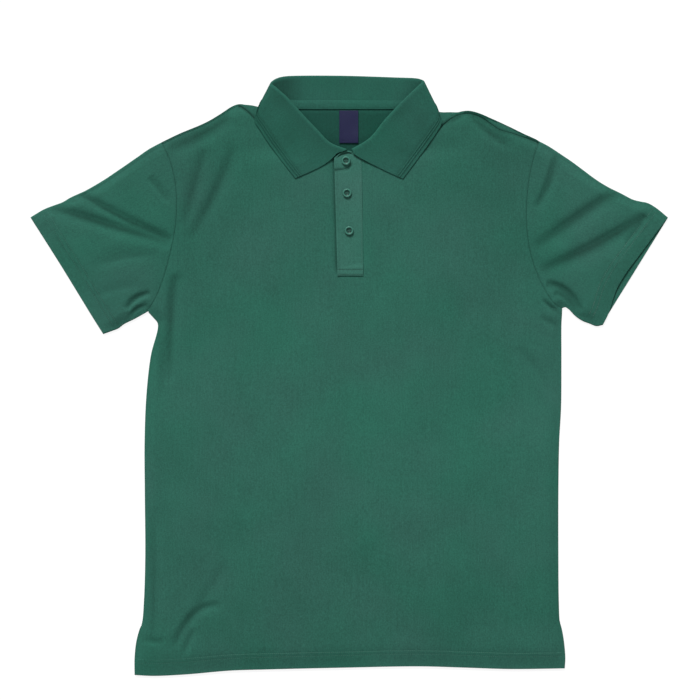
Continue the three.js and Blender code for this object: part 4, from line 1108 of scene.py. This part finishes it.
def make_collar():
    t = np.concatenate([[0, 0.0012, 0.003], np.linspace(0.006, 0.994, 250), [0.997, 0.9988, 1]])
    stand, roll, fall, from_edge = collar_sections(t)
    grid = np.hstack([stand, roll, fall])
    thick = np.full(grid.shape[:2], COLLAR)
    ridge = sum(np.exp(-(((from_edge - place) / 0.6) ** 2)) for place in RIDGES)
    groove = sum(np.exp(-(((from_edge - place) / 0.7) ** 2)) for place in GROOVES)
    thick[:, -fall.shape[1]:] += 1.0 * ridge - 0.4 * groove
    steps = np.linalg.norm(np.diff(grid, axis=1), axis=2)
    up = np.hstack([np.zeros((len(t), 1)), np.cumsum(steps, 1)])
    rim = roll[:, len(ROLL_ANGLES) // 2]
    along = np.concatenate([[0], np.cumsum(np.linalg.norm(np.diff(rim, axis=0), axis=1))])
    uv = np.dstack([np.broadcast_to(along[:, None], up.shape), up])
    crease = np.zeros(up.shape)
    # The collar's fall, darker a little all over; painted shade in its grooves and near the roll, more on the left
    # leaf; painted shade and painted light at the leaves' soft places.
    painted_fall_shade = 0.75 * sum(np.exp(-(((from_edge - place) / 0.7) ** 2)) for place in GROOVES)
    painted_fall_shade += 0.12
    for place_x, place_y, reach, amount in LEAF_SHADES:
        painted_fall_shade += amount * np.exp(-np.hypot(fall[..., 0] - place_x, fall[..., 1] - place_y) ** 2 / reach**2)
    from_roll = np.linalg.norm(fall - fall[:, :1], axis=2)
    side = np.where(fall[..., 0] < 0, 0.38, 0.24)
    crease[:, -fall.shape[1]:] = painted_fall_shade + side * np.exp(-from_roll / 16)
    x = stand[..., 0]
    # Painted shade on the stand's two ends, darkest at the left end under the leaf's rim.
    crease[:, :STAND_COUNT] = 0.9 * smooth((-50 - x) / 36) + 0.5 * smooth((x - 60) / 30)
    crease = np.clip(crease, 0, 1)
    return wall("polo_collar", grid, thick, collar_knit, uv, crease=crease)


# Placket strips.
BOTTOM_LAP = {"from_y": 146, "ramp": 10}
BOX_LINES = (127.9 + 1.2, 127.9 + 7.6)  # the two rows of stitches across the placket's foot


def placket_z(x, y, share):
    raised = np.maximum(1 - share, smooth((BOTTOM_LAP["from_y"] - y) / BOTTOM_LAP["ramp"]))
    return front_z(x, y) + (CLOTH + GAP) * raised


def placket_grid(bottom_y, top_drop, left_inset, right_inset, drop, share, t):
    share, t = np.meshgrid(share, t)
    top_y = PLACKET_TOP.at(share)[..., 1] - top_drop
    y = mix(bottom_y, top_y, t)
    x = mix(placket_edge(y, 0) + left_inset, placket_edge(y, 1) - right_inset, share)
    return x, y, share, placket_z(x, y, share) - drop


def make_placket():
    fine = np.concatenate([[0, 0.02, 0.04, 0.07], np.linspace(0.1, 0.9, 25), [0.93, 0.96, 0.98, 1]])
    rows = np.concatenate([np.linspace(0, 0.09, 22), np.linspace(0.09, 0.96, 100)[1:], np.linspace(0.96, 1, 18)[1:]])
    x, y, share, z = placket_grid(PLACKET["bottom_y"], 0, 0, 2 * SEAM, 0, fine, rows)
    from_top = PLACKET_TOP.at(share)[..., 1] - y
    shown = smooth((x + 17) / 4) * smooth((5 - x) / 4)
    z = z + shown * (1.3 * np.exp(-(((from_top - 1.1) / 0.9) ** 2)) - 0.8 * np.exp(-(((from_top - 3.3) / 1.2) ** 2)))
    crease = nearest(np.array([(-17.6, 262.2), (-7, 262.8), (-1.4, 264.9), (1.6, 269)]), x, y)[0]
    z = z - 1.5 * np.exp(-((crease / 1.8) ** 2))
    z = z - 0.4 * sum(np.exp(-(((y - line) / 0.6) ** 2)) for line in BOX_LINES)
    z = z + 0.5 * np.exp(-(((share - 0.04) / 0.05) ** 2))
    # Painted shade in the placket's diagonal crease, below its rolled top edge between the collar's leaves, and along
    # the two rows of box stitches.
    shade = 0.8 * np.exp(-((crease / 2.4) ** 2)) + shown * 0.9 * np.exp(-(((from_top - 3.2) / 1.6) ** 2))
    shade += 0.5 * sum(np.exp(-(((y - line) / 0.9) ** 2)) for line in BOX_LINES)
    grid = np.dstack([x, y, z])
    top = wall("polo_placket_top", grid, CLOTH, placket_knit, np.dstack([x, y]), crease=np.clip(shade, 0, 1))
    x, y, share, z = placket_grid(SLOT_BOTTOM_Y + 1, 0.5, SLOT_LAP + GAP, 1.2, CLOTH + GAP,
                                  np.linspace(0, 1, 14), np.linspace(0, 1, 60))
    under = wall("polo_placket_under", np.dstack([x, y, z]), CLOTH, placket_knit, np.dstack([x, y]))
    return top, under


# Tape and label inside the back neck.
TAPE = {"from": 0.37, "to": 0.63, "share": 0.28}
LABEL = {"x": -0.6, "width": 24.4, "top_y": 339.4, "bottom_y": 297.6}


def make_tape():
    t = np.linspace(TAPE["from"], TAPE["to"], 110)
    stand, roll, _, _ = collar_sections(t)
    up = np.array([0, 0.03, 0.08, 0.14, 0.2, 0.3, 0.45, 0.6, 0.75, 0.84, 0.9, 0.95, 0.98, 1])
    grid = mix(stand[:, :1], roll[:, :1], (up * TAPE["share"])[None, :, None])
    puff = 0.25 * np.sin(np.pi * up) - 0.22 * (np.exp(-(((up - 0.14) / 0.05) ** 2)) + np.exp(-(((up - 0.88) / 0.05) ** 2)))
    grid[..., 2] += (COLLAR + CLOTH) / 2 + 0.25 + puff[None, :]
    grid[..., 2] -= 0.25 * (np.exp(-up / 0.05) + np.exp(-(1 - up) / 0.05))[None, :]
    grid = grid.transpose(1, 0, 2)
    thick = CLOTH - 0.45 * (np.exp(-up / 0.05) + np.exp(-(1 - up) / 0.05))[:, None]
    return wall("polo_neck_tape", grid, thick, tape_knit, grid[..., :2].copy())


def make_label():
    x = LABEL["x"] + LABEL["width"] * (np.concatenate([[0, 0.02, 0.06], np.linspace(0.1, 0.9, 17), [0.94, 0.98, 1]]) - 0.5)
    y = np.concatenate([np.linspace(LABEL["bottom_y"], LABEL["top_y"], 40)])
    x, y = np.meshgrid(x, y)
    side = np.abs(x - LABEL["x"]) / (LABEL["width"] / 2)
    down = (LABEL["top_y"] - y) / (LABEL["top_y"] - LABEL["bottom_y"])
    z = back_z(x, y) + CLOTH + 0.25 + 0.35 * down**2 + 0.15 * side**6 + 0.12 * np.sin(down * 7 + x * 0.12)
    return wall("polo_label", np.dstack([x, y, z]), 0.8, navy, np.dstack([x, y]))


# Threads: short rounded stitches along paths, each row one mesh.
SIDES_OF_THREAD = 5
STITCH_STATIONS = ((-0.5, -0.22), (-0.3, 0.1), (0.3, 0.1), (0.5, -0.22))


def stitches(name, runs, pitch=2.6, length=2.0, radius=0.2):
    """Stitches along runs, each an array of points on the cloth's surface."""
    points, faces = [], []
    for run in runs:
        run = np.asarray(run, float)
        steps = np.linalg.norm(np.diff(run[:, :2], axis=0), axis=1)
        along = np.concatenate([[0], np.cumsum(steps)])
        centres = np.arange(pitch / 2, along[-1], pitch)
        for centre in centres:
            rings = []
            for part, sink in STITCH_STATIONS:
                spot = np.array([np.interp(centre + part * length, along, run[:, k]) for k in range(3)])
                spot[2] += sink
                rings.append(spot)
            rings = np.array(rings)
            way = rings[-1] - rings[0]
            across = np.array([-way[1], way[0], 0]) / max(math.hypot(way[0], way[1]), 1e-9)
            first = len(points)
            for ring in rings:
                for k in range(SIDES_OF_THREAD):
                    a = math.tau * k / SIDES_OF_THREAD
                    points.append(ring + radius * (across * math.cos(a) + np.array([0, 0, math.sin(a)])))
            for r in range(len(rings) - 1):
                for k in range(SIDES_OF_THREAD):
                    a, b = first + r * SIDES_OF_THREAD + k, first + r * SIDES_OF_THREAD + (k + 1) % SIDES_OF_THREAD
                    faces.append([a, b, b + SIDES_OF_THREAD, a + SIDES_OF_THREAD])
            end = first + (len(rings) - 1) * SIDES_OF_THREAD
            faces.append(list(range(first + SIDES_OF_THREAD - 1, first - 1, -1)))
            faces.append(list(range(end, end + SIDES_OF_THREAD)))
    return new_object(name, points, faces, thread)


def on_front(path, lift):
    return np.column_stack([path, front_z(path[:, 0], path[:, 1]) + lift])


def trimmed(path, start, end):
    """The part of a path between two distances from its ends."""
    along = np.concatenate([[0], np.cumsum(np.linalg.norm(np.diff(path, axis=0), axis=1))])
    spots = np.linspace(start, along[-1] - end, 80)
    return np.column_stack([np.interp(spots, along, path[:, k]) for k in range(path.shape[1])])


# Buttons.
BUTTONS = ((-4.2, 274.6), (-2.8, 233.3), (-0.2, 185.2))
BUTTON_RADIUS = 5.7
BUTTON_PROFILE = [(0, 0), (3.6, 0), (4.6, 0.15), (5.3, 0.55), (5.62, 1.0), (5.7, 1.4), (5.6, 1.9), (5.3, 2.35),
                  (4.9, 2.6), (4.5, 2.68), (4.1, 2.6), (3.75, 2.3), (3.5, 1.8), (3.3, 1.3), (2.9, 1.05), (0, 1.0)]
HOLE_OFFSET = 1.35
HOLE_RADIUS = 0.68


def lathe(profile, segments):
    points, faces = [], []
    for radius, z in profile:
        if radius == 0:
            points.append((0, 0, z))
        else:
            for k in range(segments):
                a = math.tau * k / segments
                points.append((radius * math.cos(a), radius * math.sin(a), z))
    inner = profile[1:-1]
    for i in range(len(inner) - 1):
        for k in range(segments):
            a, b = 1 + i * segments + k, 1 + i * segments + (k + 1) % segments
            faces.append([a, b, b + segments, a + segments])
    last = 1 + (len(inner) - 1) * segments
    for k in range(segments):
        faces.append([0, 1 + (k + 1) % segments, 1 + k])
        faces.append([last + k, last + (k + 1) % segments, len(points) - 1])
    return points, faces


def make_button(number, place):
    x, y = place
    spots = np.array([x - BUTTON_RADIUS, x, x + BUTTON_RADIUS])
    width = placket_edge(y, 1) - placket_edge(y, 0)
    base = float(np.max(placket_z(spots, np.full(3, y), (spots - placket_edge(y, 0)) / width))) + CLOTH / 2 + 0.15
    disc = new_object("polo_button_%d" % number, *lathe(BUTTON_PROFILE, 48), button_green, sharp=35)
    points, faces = [], []
    for k in range(4):
        a = math.pi / 2 * k + math.pi / 4
        cx, cy = math.sqrt(2) * HOLE_OFFSET * math.cos(a), math.sqrt(2) * HOLE_OFFSET * math.sin(a)
        ring, sides = lathe([(0, -1), (HOLE_RADIUS, -1), (HOLE_RADIUS, 4), (0, 4)], 16)
        faces += [[n + len(points) for n in face] for face in sides]
        points += [(px + cx, py + cy, pz) for px, py, pz in ring]
    cutter = new_object("cutter", points, faces, button_green)
    cut = disc.modifiers.new("holes", "BOOLEAN")
    cut.object = cutter
    cut.solver = "EXACT"
    graph = bpy.context.evaluated_depsgraph_get()
    mesh = bpy.data.meshes.new_from_object(disc.evaluated_get(graph))
    disc.modifiers.clear()
    disc.data = mesh
    bpy.data.objects.remove(cutter)
    mesh.set_sharp_from_angle(angle=math.radians(35))
    disc.location = (x * MM, y * MM, base * MM)
    disc.rotation_euler[2] = 0.12 * (number - 2)

    strands = []
    for side_x in (-HOLE_OFFSET, HOLE_OFFSET):
        for shift in (-0.22, 0.22):
            t = np.linspace(-1, 1, 9)
            rise = 1.55 - 1.2 * t**4
            strands.append(np.column_stack([np.full(9, side_x + shift), 1.35 * t, rise]))
    sewn = tubes("polo_button_thread_%d" % number, strands, 0.19, thread)
    sewn.location = disc.location
    sewn.rotation_euler = disc.rotation_euler
    return disc, sewn


def tubes(name, paths, radius, material, sides=6):
    points, faces = [], []
    for path in paths:
        way = np.gradient(path, axis=0)
        way /= np.linalg.norm(way, axis=1, keepdims=True)
        across = np.cross(way, [1.0, 0.1, 0.0])
        across /= np.linalg.norm(across, axis=1, keepdims=True)
        up = np.cross(way, across)
        first = len(points)
        for spot, a, b in zip(path, across, up):
            for k in range(sides):
                turn = math.tau * k / sides
                points.append(spot + radius * (a * math.cos(turn) + b * math.sin(turn)))
        for r in range(len(path) - 1):
            for k in range(sides):
                a, b = first + r * sides + k, first + r * sides + (k + 1) % sides
                faces.append([a, b, b + sides, a + sides])
        end = first + (len(path) - 1) * sides
        faces.append(list(range(first + sides - 1, first - 1, -1)))
        faces.append(list(range(end, end + sides)))
    return new_object(name, points, faces, material)


# The pieces, what each replaces, and how each was cut.
def dress(made, node=None):
    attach(made, "root")
    if node:
        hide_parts(node)
    return made


front = dress(make_front(), "front")
back = dress(make_back(), "back")
sleeve_left, left_needles = make_sleeve("polo_sleeve_wearer_right", "left")
sleeve_right, right_needles = make_sleeve("polo_sleeve_wearer_left", "right")
dress(sleeve_left, "sleeve_wearer_right")
dress(sleeve_right, "sleeve_wearer_left")
collar = dress(make_collar(), "collar")
placket_top, placket_under = make_placket()
dress(placket_top, "placket_top")
dress(placket_under, "placket_under")
tape = dress(make_tape(), "neck_tape")
label = dress(make_label(), "label")
sewn_on = []
for number, place in enumerate(BUTTONS, 1):
    disc, sewn = make_button(number, place)
    sewn_on += [dress(disc, "button_%d" % number), dress(sewn)]

hem_runs = [on_front(trimmed(path, 3, 3), HEM / 2 - 0.24) for path in HEM_NEEDLES]
hem_thread = dress(stitches("polo_hem_stitches", hem_runs))
cuff_threads = []
for name, needles in (("polo_cuff_stitches_wearer_right", left_needles),
                      ("polo_cuff_stitches_wearer_left", right_needles)):
    cuff_threads.append(dress(stitches(name, [on_front(trimmed(path, 4, 4), CUFF / 2 - 0.2) for path in needles])))


def placket_run(points):
    points = np.array(points, float)
    dense = trimmed(points, 0, 0)
    share = (dense[:, 0] - placket_edge(dense[:, 1], 0)) / (placket_edge(dense[:, 1], 1) - placket_edge(dense[:, 1], 0))
    return np.column_stack([dense, placket_z(dense[:, 0], dense[:, 1], share) + CLOTH / 2])


box_runs = [placket_run([(placket_edge(line, 0.06), line), (placket_edge(line, 0.95), line)]) for line in BOX_LINES]
for share in (0.05, 0.94):
    ends = [(placket_edge(y, share), y) for y in (BOX_LINES[0], 274.0 if share > 0.5 else BOX_LINES[1])]
    box_runs.append(placket_run(ends))
placket_thread = dress(stitches("polo_placket_stitches", box_runs, 2.4, 1.8, 0.17))

# Each sheet: its piece, the width and length of the cut that shows, its flat area, what it lies on and what is
# sewn to it.
SHEETS = [
    (front, (0.556, 0.733), 0.352, ["back"], [hem_thread]),
    (back, (0.551, 0.755), 0.368, [], []),
    (sleeve_left, (0.470, 0.195), 0.0530, [], [cuff_threads[0]]),
    (sleeve_right, (0.470, 0.195), 0.0475, [], [cuff_threads[1]]),
    (collar, (0.450, 0.113), 0.0430, ["front", "back"], []),
    (placket_top, (0.036, 0.160), 0.0053, ["placket_under", "front"], [placket_thread] + sewn_on),
    (placket_under, (0.032, 0.154), 0.0047, ["front"], []),
    (tape, (0.175, 0.013), 0.0021, ["collar"], []),
    (label, (0.0244, 0.0420), 0.0010, ["back"], []),
]
for made, flat, area, rests_on, with_pieces in SHEETS:
    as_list(rests_on)
    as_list(with_pieces)

# Camera: straight down, as far as shows 896 mm of the table in the picture's width.
PIXEL = 1.28
PICTURE = 700
LENS = 100.0
SENSOR = 36.0
FOCUS_Z = 4.0
camera_data = bpy.data.cameras.new("camera")
camera_data.lens = LENS
camera_data.sensor_width = SENSOR
camera_data.clip_end = 20
camera = bpy.data.objects.new("camera", camera_data)
bpy.context.collection.objects.link(camera)
distance = PICTURE * PIXEL * LENS / SENSOR
camera.location = (0.96 * MM, 32.8 * MM, (distance + FOCUS_Z) * MM)
bpy.context.scene.camera = camera

# Floor, world and lights.
floor_nodes = Nodes("floor")
floor_place = floor_nodes.add("TexCoord").outputs["Object"]
floor_tone = floor_nodes.noise(floor_place, 3.0, 2.0)
floor_nodes.put(floor_nodes.blend(floor_tone, (0.13, 0.13, 0.13, 1), (0.15, 0.15, 0.15, 1)),
                floor_nodes.shader.inputs["Base Color"])
floor_nodes.shader.inputs["Emission Color"].default_value = (1, 1, 1, 1)
floor_nodes.shader.inputs["Emission Strength"].default_value = 0.88
floor_nodes.shader.inputs["Roughness"].default_value = 0.9
floor_nodes.shader.inputs["Specular IOR Level"].default_value = 0.1
floor = new_object("floor", [(-4000, -4000, -0.3), (4000, -4000, -0.3), (4000, 4000, -0.3), (-4000, 4000, -0.3)],
                   [[0, 1, 2, 3]], floor_nodes.material)
world = bpy.data.worlds.new("world")
world.use_nodes = True
world.node_tree.nodes["Background"].inputs["Color"].default_value = (1, 1, 1, 1)
world.node_tree.nodes["Background"].inputs["Strength"].default_value = 0.46
bpy.context.scene.world = world


sun = bpy.data.lights.new("key", "SUN")
sun.energy = 4.4
sun.angle = math.radians(22)
key = bpy.data.objects.new("key", sun)
KEY_HEIGHT = math.radians(38)
KEY_TURN = math.radians(-15)  # from straight above the picture towards its left
key.rotation_euler = (KEY_HEIGHT - math.pi / 2, 0, -KEY_TURN)
bpy.context.collection.objects.link(key)
bpy.context.scene.view_settings.view_transform = "Standard"
